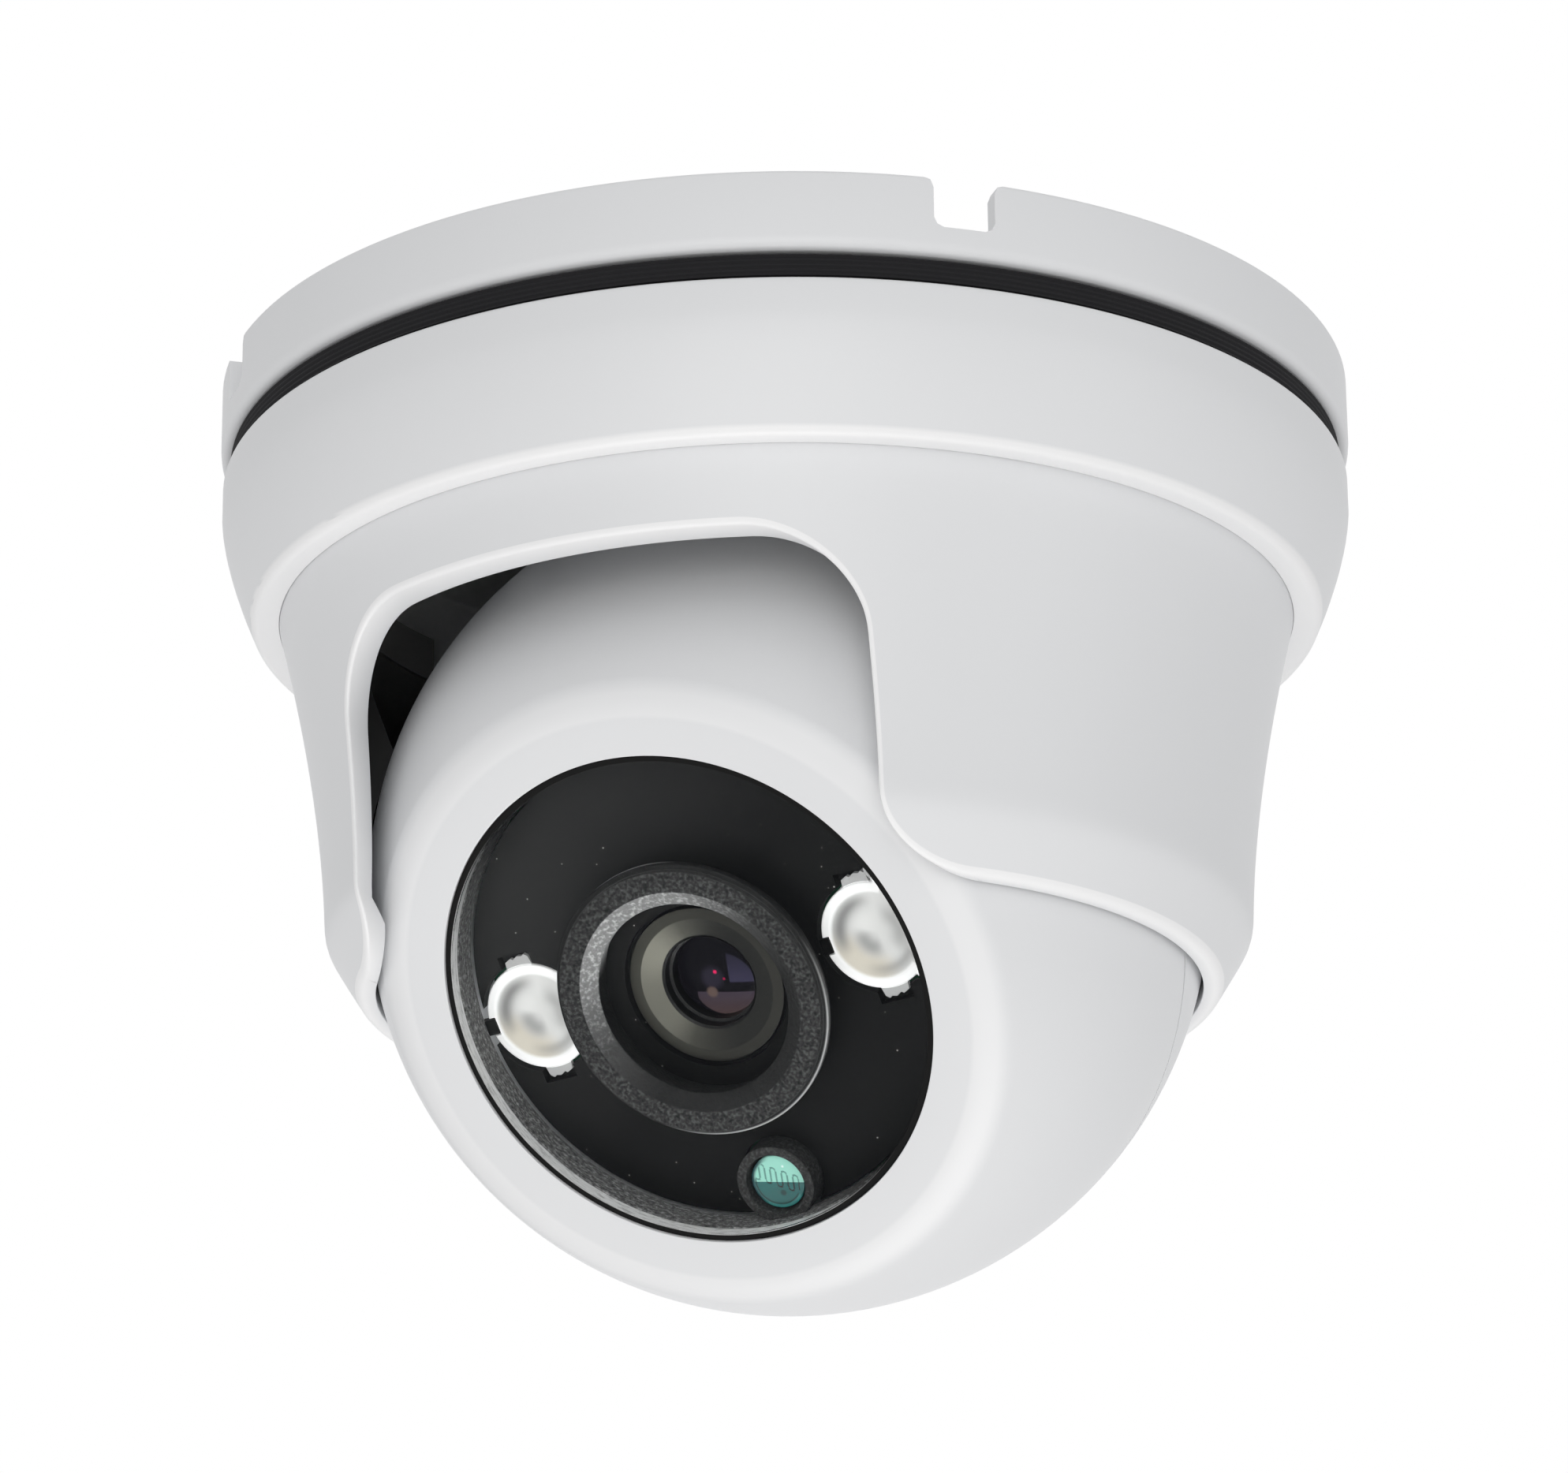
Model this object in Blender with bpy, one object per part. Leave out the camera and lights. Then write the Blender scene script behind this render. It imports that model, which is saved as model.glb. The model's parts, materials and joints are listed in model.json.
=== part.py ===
"""A turret dome security camera, modelled the way it is put together.

A base is screwed to the ceiling. A trim ring twists on below it, and a notched collar pans inside that
ring. The collar carries a ball, which tilts and rolls. The ball holds the lens, its filter, the lamps and
the boards.

Metres, +Z up. The ceiling is at Z = 0, the camera hangs below it, and its front is -Y. The pieces of the ball
are written in the ball's own frame: the origin at its centre, +Z out through the window, +X to the right and
+Y up as one looks into the window.
"""

import math

import bmesh
import bpy
from mathutils import Matrix

MM = 0.001

# Rounding of curves
SEGMENTS = 48
FINE_SEGMENTS = 24
SMALL_SEGMENTS = 12
SCREW_SEGMENTS = 8
CURVE_STEPS = 8
FILLET_STEPS = 4
SMOOTH_ANGLE = math.radians(35)
OVERRUN = 1.0 * MM  # how far a cutter or a joined boss runs past a face

# Clearances
FIT_GAP = 0.3 * MM  # between pieces that rest on or slide past each other
SHANK_GAP = 0.25 * MM  # round a screw's shank, a stud or a pane
MOUTH_GAP = 0.3 * MM  # between the collar's neck and the trim ring

# Ball
BALL_RADIUS = 34.64 * MM
BALL_WALL = 2.2 * MM
WINDOW_RADIUS = 20.81 * MM
BEZEL_WIDTH = 5.15 * MM
BEZEL_EDGE = 2.0 * MM  # how far the bezel's outer edge is rounded
SEAM_OFFSET = 1.3 * MM  # the shells' joint, in front of the ball's centre
SEAL_WIDTH = 0.7 * MM
SEAL_DEPTH = 1.25 * MM
TILT_AT_REST = 38.0
ROLL_AT_REST = 4.0

# Collar and the cradle inside it
CRADLE_WALL = 0.9 * MM
COLLAR_WALL = 1.9 * MM
COLLAR_NECK_WALL = 2.9 * MM  # the wall above the notch, where there is room for it
COLLAR_TAPER = 4.2 * MM  # how much wider the collar is at its neck than at its waist
COLLAR_CURVE = 1.65
LIP_DROP = 4.35 * MM  # from the ball's centre down to where the lip starts
LIP_HEIGHT = 4.65 * MM
LIP_WALL = 1.4 * MM
LIP_EDGE = 0.5 * MM
SEAT_HEIGHT = 3.0 * MM
FLANGE_OVERLAP = 1.0 * MM
FLANGE_THICKNESS = 1.67 * MM
NOTCH_HALF_WIDTH = 23.2 * MM
NOTCH_RISE = 16.8 * MM  # from the ball's centre up to the notch's top edge
NOTCH_CORNER = 8.0 * MM
NOTCH_FLARE = 4.0 * MM
CRADLE_FRONT_ANGLE = 46.0  # where the cradle starts, counted from the front
CRADLE_REAR_ANGLE = 168.0
CRADLE_RISE = 12.5 * MM  # how far the cradle reaches up the ball
CRADLE_DROP = 3.3 * MM
CRADLE_RIM_WALL = 1.3 * MM

# Trim ring
TRIM_WALL = 2.66 * MM
TRIM_HEIGHT = 11.87 * MM
TRIM_DRUM = 2.85 * MM  # the straight part above the taper
TRIM_TAPER = 2.56 * MM
TRIM_CURVE = 1.49
TRIM_EDGE = 0.55 * MM
FOOT_DROP = 0.2 * MM  # how far the foot hangs below the mouth
LEDGE_THICKNESS = 1.9 * MM

# Base
BASE_HEIGHT = 6.45 * MM
BASE_WALL = 1.7 * MM
BASE_OVERHANG = 0.22 * MM  # how far the base reaches out past the trim ring
BASE_EDGE = 0.9 * MM
PLATE_THICKNESS = 1.8 * MM
GASKET_THICKNESS = 1.75 * MM
GASKET_INSET = 0.55 * MM
WASHER_THICKNESS = 1.2 * MM
WASHER_REACH = 2.4 * MM  # how far the washer reaches in past the spigot, over the cradle's rim
SPIGOT_WALL = 1.8 * MM
SPIGOT_INSET = 0.64 * MM
LUG_REACH = 1.3 * MM
LUG_COUNT = 3
LUG_ANGLE = 24.0
LUG_START = 20.0
RIM_NOTCH_COUNT = 4
RIM_NOTCH_START = 44.6
RIM_NOTCH_WIDTH = 5.0 * MM
RIM_NOTCH_DEPTH = 4.2 * MM
RIM_NOTCH_CORNER = 0.8 * MM
RIM_NOTCH_FLARE = 0.9 * MM
SCREW_HOLE_COUNT = 3
SCREW_HOLE_RADIUS = 2.3 * MM
SCREW_CIRCLE = 30.0 * MM
CABLE_HOLE_RADIUS = 8.0 * MM
GROMMET_BORE = 3.3 * MM
GROMMET_LIP = 2.0 * MM
GROMMET_FLANGE = 1.2 * MM
BALL_HEADROOM = 0.9 * MM

# Cable gland at the back of the ball
GLAND_HOLE_RADIUS = 4.6 * MM
GLAND_BORE = 2.9 * MM
GLAND_FLANGE = 1.15 * MM
GLAND_REACH = 1.2 * MM  # how far the gland's flange and clip reach past the hole
GLAND_CLIP = 1.2 * MM
GLAND_TAIL = 0.5 * MM
REAR_FLAT_INSET = 2.05 * MM
CABLE_SEAL_WALL = 0.55 * MM

# Window and mask
GLASS_INSET = 0.1 * MM
GLASS_THICKNESS = 1.2 * MM
GLASS_GAP = 0.2 * MM
GLASS_EDGE = 0.25 * MM
WINDOW_SEAL_WALL = 0.45 * MM
MASK_THICKNESS = 1.0 * MM
MASK_EDGE = 0.3 * MM  # material left outside the mask's holes
MASK_POST = 3.4 * MM
MASK_POST_RADIUS = 1.2 * MM
MASK_POST_COUNT = 4

# Lens, its hood and its holder
HOOD_RADIUS = 11.4 * MM
HOOD_FACE_RADIUS = 9.5 * MM
HOOD_BORE = 7.9 * MM
HOOD_HEIGHT = 2.35 * MM
HOOD_CHAMFER = 0.8 * MM
HOOD_EDGE = 0.25 * MM
LENS_HEAD_RADIUS = 6.72 * MM
LENS_HEAD_HEIGHT = 4.0 * MM
LENS_LENGTH = 14.0 * MM
LENS_THREAD_RADIUS = 5.95 * MM
LENS_RIM = 0.72 * MM
LENS_CONE_RADIUS = 4.3 * MM
LENS_CONE_DEPTH = 2.0 * MM
LENS_THROAT_DEPTH = 2.2 * MM
ELEMENT_RADIUS = 2.9 * MM
ELEMENT_THICKNESS = 1.6 * MM
ELEMENT_BULGE = 0.7 * MM
LENS_STOP_RADIUS = 2.0 * MM
LENS_PROUD = 0.3 * MM  # how far the lens stands out of the mask
HOLDER_TUBE_WALL = 2.05 * MM
HOLDER_LENGTH = 26.0 * MM
HOLDER_WIDTH = 23.0 * MM
HOLDER_BLOCK_HEIGHT = 5.4 * MM
HOLDER_SCREW_OFFSET = 9.2 * MM
LIGHT_HOLE_RADIUS = 4.4 * MM

# Day and night filter
FILTER_TRAVEL = 6.0 * MM
FILTER_PANE_LENGTH = 4.6 * MM
FILTER_PANE_WIDTH = 6.6 * MM
FILTER_PANE_THICKNESS = 0.8 * MM
FILTER_BAR = 1.3 * MM
FILTER_CARRIER_THICKNESS = 1.4 * MM
FILTER_RAIL = 0.7 * MM
SOLENOID_RADIUS = 2.3 * MM
SOLENOID_LENGTH = 8.0 * MM

# Boards and what is on them
BOARD_SIDE = 38.0 * MM
BOARD_THICKNESS = 1.6 * MM
BOARD_HOLE_INSET = 2.0 * MM
LAMP_BOARD_MARGIN = 2.26 * MM
LAMP_BOARD_BORE = 8.6 * MM
BOSS_RELIEF = 0.6 * MM  # between the lamp board and the bosses of the shell screws
STANDOFF_LENGTH = 11.8 * MM
STANDOFF_RADIUS = 2.3 * MM
STUD_RADIUS = 0.95 * MM
STUD_LENGTH = 5.0 * MM
IMAGE_SENSOR_LENGTH = 8.4 * MM
IMAGE_SENSOR_WIDTH = 7.2 * MM
IMAGE_SENSOR_HEIGHT = 1.2 * MM
PROCESSOR_SIDE = 9.0 * MM
PROCESSOR_HEIGHT = 1.0 * MM
CONNECTOR_LENGTH = 10.0 * MM
CONNECTOR_WIDTH = 4.8 * MM
CONNECTOR_HEIGHT = 5.0 * MM
LAMP_LENS_RADIUS = 4.5 * MM
LAMP_RISE = 0.4 * MM  # how far the lamps sit above the lens axis
LAMP_LENS_WALL = 0.6 * MM
LAMP_LENS_SINK = 0.2 * MM
LAMP_DISH = 0.75 * MM
LAMP_ROOM = 1.6 * MM  # height of the hollow over the emitter
EMITTER_SIDE = 5.0 * MM
EMITTER_HEIGHT = 1.2 * MM
LIGHT_SENSOR_RADIUS = 2.3 * MM
LIGHT_SENSOR_HEIGHT = 2.9 * MM
LIGHT_FILTER_THICKNESS = 0.8 * MM
SLEEVE_WALL = 0.55 * MM
SLEEVE_PROUD = 0.3 * MM  # how far the sleeve stands out of the mask

# Screws
SCREW_RADIUS = 0.85 * MM
SCREW_HEAD_RADIUS = 1.8 * MM
SCREW_HEAD_HEIGHT = 1.4 * MM
SCREW_DRIVE_RADIUS = 0.7 * MM
SCREW_DRIVE_DEPTH = 0.7 * MM
BOSS_RADIUS = 2.4 * MM
BOARD_SCREW_REACH = 4.0 * MM
HOLDER_SCREW_REACH = 3.4 * MM
SHELL_BOSS_RADIUS = 2.7 * MM
SHELL_BOSS_COUNT = 3
SHELL_BOSS_INSET = 3.3 * MM  # from the ball's inner wall to a boss's axis
SHELL_SCREW_REACH = 8.0 * MM
SHELL_SCREW_SEAT = 6.0 * MM

# Radii that follow from the ball outwards
SEAT_RADIUS = BALL_RADIUS + FIT_GAP
WAIST_RADIUS = SEAT_RADIUS + CRADLE_WALL + FIT_GAP + COLLAR_WALL
NECK_RADIUS = WAIST_RADIUS + COLLAR_TAPER
MOUTH_RADIUS = NECK_RADIUS + MOUTH_GAP
FLANGE_RADIUS = MOUTH_RADIUS + FLANGE_OVERLAP
SPIGOT_RADIUS = FLANGE_RADIUS - SPIGOT_INSET
SPIGOT_BORE = SPIGOT_RADIUS - SPIGOT_WALL
LUG_RADIUS = SPIGOT_RADIUS + LUG_REACH
TRIM_BORE = LUG_RADIUS + FIT_GAP
BODY_RADIUS = TRIM_BORE + TRIM_WALL
BASE_RADIUS = BODY_RADIUS + BASE_OVERHANG

# Heights that follow from the ceiling downwards
PLATE_TOP = PLATE_THICKNESS - BASE_HEIGHT
GASKET_TOP = -BASE_HEIGHT - FIT_GAP
GASKET_BOTTOM = GASKET_TOP - GASKET_THICKNESS
TRIM_TOP = GASKET_BOTTOM - FIT_GAP
TRIM_BOTTOM = TRIM_TOP - TRIM_HEIGHT
FOOT_BOTTOM = TRIM_BOTTOM - FOOT_DROP
LEDGE_TOP = TRIM_BOTTOM + LEDGE_THICKNESS
FLANGE_BOTTOM = LEDGE_TOP + FIT_GAP
FLANGE_TOP = FLANGE_BOTTOM + FLANGE_THICKNESS
WASHER_BOTTOM = FLANGE_TOP + FIT_GAP
WASHER_TOP = WASHER_BOTTOM + WASHER_THICKNESS
SPIGOT_BOTTOM = WASHER_TOP + FIT_GAP
GROMMET_BOTTOM = -BASE_HEIGHT - FIT_GAP - GROMMET_FLANGE
BALL_CENTRE = GROMMET_BOTTOM - BALL_HEADROOM - BALL_RADIUS
LIP_TOP = BALL_CENTRE - LIP_DROP
LIP_BOTTOM = LIP_TOP - LIP_HEIGHT
NOTCH_TOP = BALL_CENTRE + NOTCH_RISE
LUG_HEIGHT = (TRIM_TOP - SPIGOT_BOTTOM - 3 * FIT_GAP) / 2
BASE_LUG_BOTTOM = SPIGOT_BOTTOM + FIT_GAP
TRIM_LUG_BOTTOM = BASE_LUG_BOTTOM + LUG_HEIGHT + FIT_GAP

# Distances along the lens axis, from the ball's centre
BALL_BORE = BALL_RADIUS - BALL_WALL
FACE_RADIUS = WINDOW_RADIUS + BEZEL_WIDTH
FACE = math.sqrt(BALL_RADIUS**2 - FACE_RADIUS**2)
GLASS_FRONT = FACE - GLASS_INSET
GLASS_BACK = GLASS_FRONT - GLASS_THICKNESS
HOOD_FRONT = GLASS_BACK - FIT_GAP
HOOD_BACK = HOOD_FRONT - HOOD_HEIGHT
MASK_FRONT = HOOD_BACK - FIT_GAP
MASK_BACK = MASK_FRONT - MASK_THICKNESS
LAMP_BOARD_FRONT = MASK_BACK - MASK_POST - FIT_GAP
LAMP_BOARD_BACK = LAMP_BOARD_FRONT - BOARD_THICKNESS
STANDOFF_TOP = LAMP_BOARD_BACK - FIT_GAP
STANDOFF_BOTTOM = STANDOFF_TOP - STANDOFF_LENGTH
BOARD_FRONT = STANDOFF_BOTTOM - FIT_GAP
BOARD_BACK = BOARD_FRONT - BOARD_THICKNESS
LENS_FRONT = MASK_FRONT + LENS_PROUD
LENS_BACK = LENS_FRONT - LENS_LENGTH
HOLDER_BOTTOM = BOARD_FRONT + FIT_GAP
HOLDER_TOP = STANDOFF_TOP
CARRIER_BOTTOM = HOLDER_BOTTOM + IMAGE_SENSOR_HEIGHT + 2 * FIT_GAP
CARRIER_TOP = CARRIER_BOTTOM + FILTER_CARRIER_THICKNESS
REAR_FLAT = -(BALL_RADIUS - REAR_FLAT_INSET)
REAR_FLAT_INNER = REAR_FLAT + BALL_WALL
FRONT_SEAM = SEAM_OFFSET + FIT_GAP / 2
REAR_SEAM = SEAM_OFFSET - FIT_GAP / 2

# Distances across the window
MASK_RADIUS = WINDOW_RADIUS - GLASS_GAP
LAMP_HOLE_RADIUS = LAMP_LENS_RADIUS + SHANK_GAP
LAMP_OFFSET = MASK_RADIUS - MASK_EDGE - LAMP_HOLE_RADIUS
SLEEVE_BORE = LIGHT_SENSOR_RADIUS + SHANK_GAP
SLEEVE_RADIUS = SLEEVE_BORE + SLEEVE_WALL
SLEEVE_HOLE_RADIUS = SLEEVE_RADIUS + SHANK_GAP
LIGHT_SENSOR_OFFSET = MASK_RADIUS - MASK_EDGE - SLEEVE_HOLE_RADIUS
BOSS_OFFSET = BOARD_SIDE / 2 - BOARD_HOLE_INSET
LAMP_BOARD_RADIUS = math.hypot(BOSS_OFFSET, BOSS_OFFSET) + LAMP_BOARD_MARGIN
SHELL_BOSS_CIRCLE = BALL_BORE - SHELL_BOSS_INSET
CORNERS = [(BOSS_OFFSET * across, BOSS_OFFSET * up) for across in (-1, 1) for up in (-1, 1)]
SIDES = (("left", -1), ("right", 1))

FINISHES = {
    "white_shell": ((0.80, 0.81, 0.82), 0.38, 0.0),
    "black_rubber": ((0.025, 0.025, 0.027), 0.75, 0.0),
    "black_plastic": ((0.02, 0.02, 0.022), 0.55, 0.0),
    "window": ((0.90, 0.92, 0.92), 0.05, 0.0),
    "lens_metal": ((0.16, 0.16, 0.13), 0.35, 0.6),
    "optical_glass": ((0.30, 0.26, 0.42), 0.05, 0.0),
    "lamp_lens": ((0.85, 0.86, 0.85), 0.25, 0.0),
    "teal_filter": ((0.12, 0.45, 0.42), 0.15, 0.0),
    "red_filter": ((0.45, 0.16, 0.20), 0.10, 0.0),
    "circuit_board": ((0.02, 0.17, 0.08), 0.45, 0.0),
    "chip": ((0.03, 0.03, 0.035), 0.50, 0.0),
    "cream_plastic": ((0.75, 0.72, 0.62), 0.50, 0.0),
    "brass": ((0.70, 0.53, 0.25), 0.30, 1.0),
    "steel": ((0.62, 0.62, 0.60), 0.30, 1.0),
    "copper_wire": ((0.50, 0.22, 0.10), 0.35, 1.0),
}


def clear_scene():
    for item in list(bpy.data.objects):
        bpy.data.objects.remove(item, do_unlink=True)


def finish_named(name):
    """The material of that name, made when it is first asked for."""
    found = bpy.data.materials.get(name)
    if found:
        return found
    colour, roughness, metallic = FINISHES[name]
    made = bpy.data.materials.new(name)
    made.use_nodes = True
    shader = made.node_tree.nodes["Principled BSDF"]
    shader.inputs["Base Color"].default_value = (*colour, 1.0)
    shader.inputs["Roughness"].default_value = roughness
    shader.inputs["Metallic"].default_value = metallic
    return made


def place(name, shape, parent):
    """An object that holds the shape, closed and facing out."""
    bmesh.ops.recalc_face_normals(shape, faces=shape.faces)
    mesh = bpy.data.meshes.new(name)
    shape.to_mesh(mesh)
    shape.free()
    item = bpy.data.objects.new(name, mesh)
    item.parent = parent
    bpy.context.scene.collection.objects.link(item)
    return item


def piece(name, shape, finish, parent=None):
    item = place(name, shape, parent)
    item.data.materials.append(finish_named(finish))
    item.data.shade_smooth()
    item.data.set_sharp_from_angle(angle=SMOOTH_ANGLE)
    return item


def tool(name, shape, parent=None):
    """A shape that only cuts or joins, and isn't part of the camera itself."""
    item = place(name, shape, parent)
    item.hide_render = True
    item.display_type = "WIRE"
    return item


def combine(item, operation, other):
    modifier = item.modifiers.new(other.name, "BOOLEAN")
    modifier.operation = operation
    modifier.solver = "EXACT"
    modifier.object = other


def axis_empty(name, location, rotation, parent=None):
    empty = bpy.data.objects.new(name, None)
    empty.location = location
    empty.rotation_euler = rotation
    empty.parent = parent
    bpy.context.scene.collection.objects.link(empty)
    return empty


def arc(centre, radius, start, end, steps=FILLET_STEPS):
    """Points on an arc from one angle to the other, in degrees."""
    angles = [math.radians(start + (end - start) * step / steps) for step in range(steps + 1)]
    return [(centre[0] + radius * math.cos(a), centre[1] + radius * math.sin(a)) for a in angles]


def sphere_arc(radius, start, end, steps=CURVE_STEPS):
    """Points (distance from the axis, height) on a sphere, from one height to another."""
    angles = (math.degrees(math.asin(start / radius)), math.degrees(math.asin(end / radius)))
    return arc((0.0, 0.0), radius, *angles, steps)


def turned(profile, steps=SEGMENTS, start=0.0, end=360.0):
    """A closed outline of (radius, height) points, turned about Z right round or through a sector."""
    shape = bmesh.new()
    whole = end - start >= 360.0
    rings = []
    for step in range(steps if whole else steps + 1):
        turn = math.radians(start + (end - start) * step / steps)
        ring = []
        for index, (radius, height) in enumerate(profile):
            if radius == 0.0 and rings:
                ring.append(rings[0][index])
            else:
                ring.append(shape.verts.new((radius * math.cos(turn), radius * math.sin(turn), height)))
        rings.append(ring)
    followers = rings[1:] + rings[:1] if whole else rings[1:]
    for here, there in zip(rings, followers):
        for i in range(len(profile)):
            corners = list(dict.fromkeys((here[i - 1], here[i], there[i], there[i - 1])))
            if len(corners) > 2:
                shape.faces.new(corners)
    if not whole:
        shape.faces.new(rings[0])
        shape.faces.new(rings[-1])
    return shape


def prism(outline, low, high):
    """A flat outline in X and Y, made solid between two heights."""
    shape = bmesh.new()
    bottom = [shape.verts.new((x, y, low)) for x, y in outline]
    top = [shape.verts.new((x, y, high)) for x, y in outline]
    shape.faces.new(bottom)
    shape.faces.new(top)
    for i in range(len(outline)):
        shape.faces.new((bottom[i - 1], bottom[i], top[i], top[i - 1]))
    return shape


def rod(radius, low, high, steps=SMALL_SEGMENTS):
    return turned([(0.0, low), (radius, low), (radius, high), (0.0, high)], steps)


def tube(bore, radius, low, high, steps=SEGMENTS):
    return turned([(bore, low), (radius, low), (radius, high), (bore, high)], steps)


def block(length, width, low, high):
    """A box round the Z axis, between two heights."""
    x, y = length / 2, width / 2
    return prism([(-x, -y), (x, -y), (x, y), (-x, y)], low, high)


def moved(shape, x, y, z=0.0):
    bmesh.ops.translate(shape, verts=shape.verts, vec=(x, y, z))
    return shape


def rotated(shape, degrees, axis):
    matrix = Matrix.Rotation(math.radians(degrees), 3, axis)
    bmesh.ops.rotate(shape, verts=shape.verts, matrix=matrix)
    return shape


def rods(radius, low, high, places, steps=SCREW_SEGMENTS):
    """Equal rods at several places, in one mesh."""
    return joined([moved(rod(radius, low, high, steps), x, y) for x, y in places])


def joined(shapes):
    """Several shapes in one mesh, for a tool that works in several places at once."""
    whole = bmesh.new()
    for shape in shapes:
        loose = bpy.data.meshes.new("loose")
        shape.to_mesh(loose)
        shape.free()
        whole.from_mesh(loose)
        bpy.data.meshes.remove(loose)
    return whole


def round_places(count, circle, start):
    """Places at equal steps round a circle, from a starting angle in degrees."""
    angles = [math.radians(start + 360.0 * step / count) for step in range(count)]
    return [(circle * math.cos(a), circle * math.sin(a)) for a in angles]


def u_outline(half_width, depth, corner, flare):
    """A U that opens at height 0, with rounded inner corners and a flared mouth."""
    right = [(half_width + flare, -OVERRUN)]
    right += arc((half_width + flare, flare), flare, 270, 180)
    right += arc((half_width - corner, depth - corner), corner, 0, 90)
    left = [(-x, y) for x, y in reversed(right)]
    return right + left


def u_cutter(half_width, depth, corner, flare, near, far):
    """The U as a solid that reaches out along -Y, standing upright from Z = 0."""
    return rotated(prism(u_outline(half_width, depth, corner, flare), near, far), 90.0, "X")


def lugs(bore, radius, low, high):
    """Bayonet lugs: short arcs of a ring at equal steps."""
    outline = [(bore, low), (radius, low), (radius, high), (bore, high)]
    starts = [LUG_START + 360.0 * step / LUG_COUNT for step in range(LUG_COUNT)]
    return joined([turned(outline, FILLET_STEPS, start, start + LUG_ANGLE) for start in starts])


def screw(name, head_under, reach, places, parent):
    """Round-headed screws that point along +Z of their parent, each its own piece."""
    tip = head_under + reach
    top = head_under - SCREW_HEAD_HEIGHT
    profile = [(0.0, tip), (SCREW_RADIUS, tip), (SCREW_RADIUS, head_under), (SCREW_HEAD_RADIUS, head_under)]
    profile += [(SCREW_HEAD_RADIUS, top), (SCREW_DRIVE_RADIUS, top)]
    profile += [(SCREW_DRIVE_RADIUS, top + SCREW_DRIVE_DEPTH), (0.0, top + SCREW_DRIVE_DEPTH)]
    for number, (x, y) in enumerate(places, 1):
        piece(f"{name}_{number}", moved(turned(profile, SCREW_SEGMENTS), x, y), "steel", parent)


def build_base():
    lower_edge = arc((BASE_RADIUS - BASE_EDGE, BASE_EDGE - BASE_HEIGHT), BASE_EDGE, 0, -90)
    skirt_bore = BASE_RADIUS - BASE_WALL
    profile = [(BASE_RADIUS, 0.0), *lower_edge]
    profile += [(SPIGOT_RADIUS, -BASE_HEIGHT), (SPIGOT_RADIUS, SPIGOT_BOTTOM)]
    profile += [(SPIGOT_BORE, SPIGOT_BOTTOM), (SPIGOT_BORE, -BASE_HEIGHT)]
    profile += [(CABLE_HOLE_RADIUS, -BASE_HEIGHT), (CABLE_HOLE_RADIUS, PLATE_TOP)]
    profile += [(skirt_bore, PLATE_TOP), (skirt_bore, 0.0)]
    base = piece("mounting_base", turned(profile), "white_shell")
    lug_top = BASE_LUG_BOTTOM + LUG_HEIGHT
    base_lugs = lugs(SPIGOT_RADIUS - SPIGOT_WALL / 2, LUG_RADIUS, BASE_LUG_BOTTOM, lug_top)
    combine(base, "UNION", tool("base_lugs", base_lugs))
    combine(base, "DIFFERENCE", tool("rim_notch_cuts", rim_notches()))
    places = round_places(SCREW_HOLE_COUNT, SCREW_CIRCLE, 90.0)
    holes = rods(SCREW_HOLE_RADIUS, -BASE_HEIGHT - OVERRUN, PLATE_TOP + OVERRUN, places, SMALL_SEGMENTS)
    combine(base, "DIFFERENCE", tool("screw_hole_cuts", holes))
    build_base_rubber()


def rim_notches():
    """Four notches in the top of the rim, for a cable that leaves sideways."""
    near = BASE_RADIUS - BASE_WALL - OVERRUN
    far = BASE_RADIUS + OVERRUN
    cuts = []
    for step in range(RIM_NOTCH_COUNT):
        cut = u_cutter(RIM_NOTCH_WIDTH / 2, RIM_NOTCH_DEPTH, RIM_NOTCH_CORNER, RIM_NOTCH_FLARE, near, far)
        bmesh.ops.scale(cut, verts=cut.verts, vec=(1, 1, -1))
        bmesh.ops.recalc_face_normals(cut, faces=cut.faces)
        cuts.append(rotated(cut, RIM_NOTCH_START + 360.0 * step / RIM_NOTCH_COUNT, "Z"))
    return joined(cuts)


def build_base_rubber():
    """The gasket under the rim, the washer that the collar turns against, and the cable grommet."""
    gasket = tube(SPIGOT_RADIUS + FIT_GAP, BODY_RADIUS - GASKET_INSET, GASKET_BOTTOM, GASKET_TOP)
    piece("base_gasket", gasket, "black_rubber")
    washer = tube(SPIGOT_BORE - WASHER_REACH, SPIGOT_RADIUS, WASHER_BOTTOM, WASHER_TOP)
    piece("pan_washer", washer, "black_plastic")
    waist = CABLE_HOLE_RADIUS - FIT_GAP
    rim = CABLE_HOLE_RADIUS + GROMMET_LIP
    upper, lower = PLATE_TOP + FIT_GAP, -BASE_HEIGHT - FIT_GAP
    top = upper + GROMMET_FLANGE
    profile = [(GROMMET_BORE, GROMMET_BOTTOM), (rim, GROMMET_BOTTOM), (rim, lower), (waist, lower)]
    profile += [(waist, upper), (rim, upper), (rim, top), (GROMMET_BORE, top)]
    piece("cable_grommet", turned(profile, FINE_SEGMENTS), "black_rubber")


def trim_outside():
    """The ring's outer side: a short drum that draws in to its foot."""
    start = TRIM_TOP - TRIM_DRUM
    points = [(BODY_RADIUS, TRIM_TOP), (BODY_RADIUS, start)]
    length = start - FOOT_BOTTOM - TRIM_EDGE
    for step in range(1, CURVE_STEPS + 1):
        share = step / CURVE_STEPS
        points.append((BODY_RADIUS - TRIM_TAPER * share**TRIM_CURVE, start - length * share))
    return points


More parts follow.
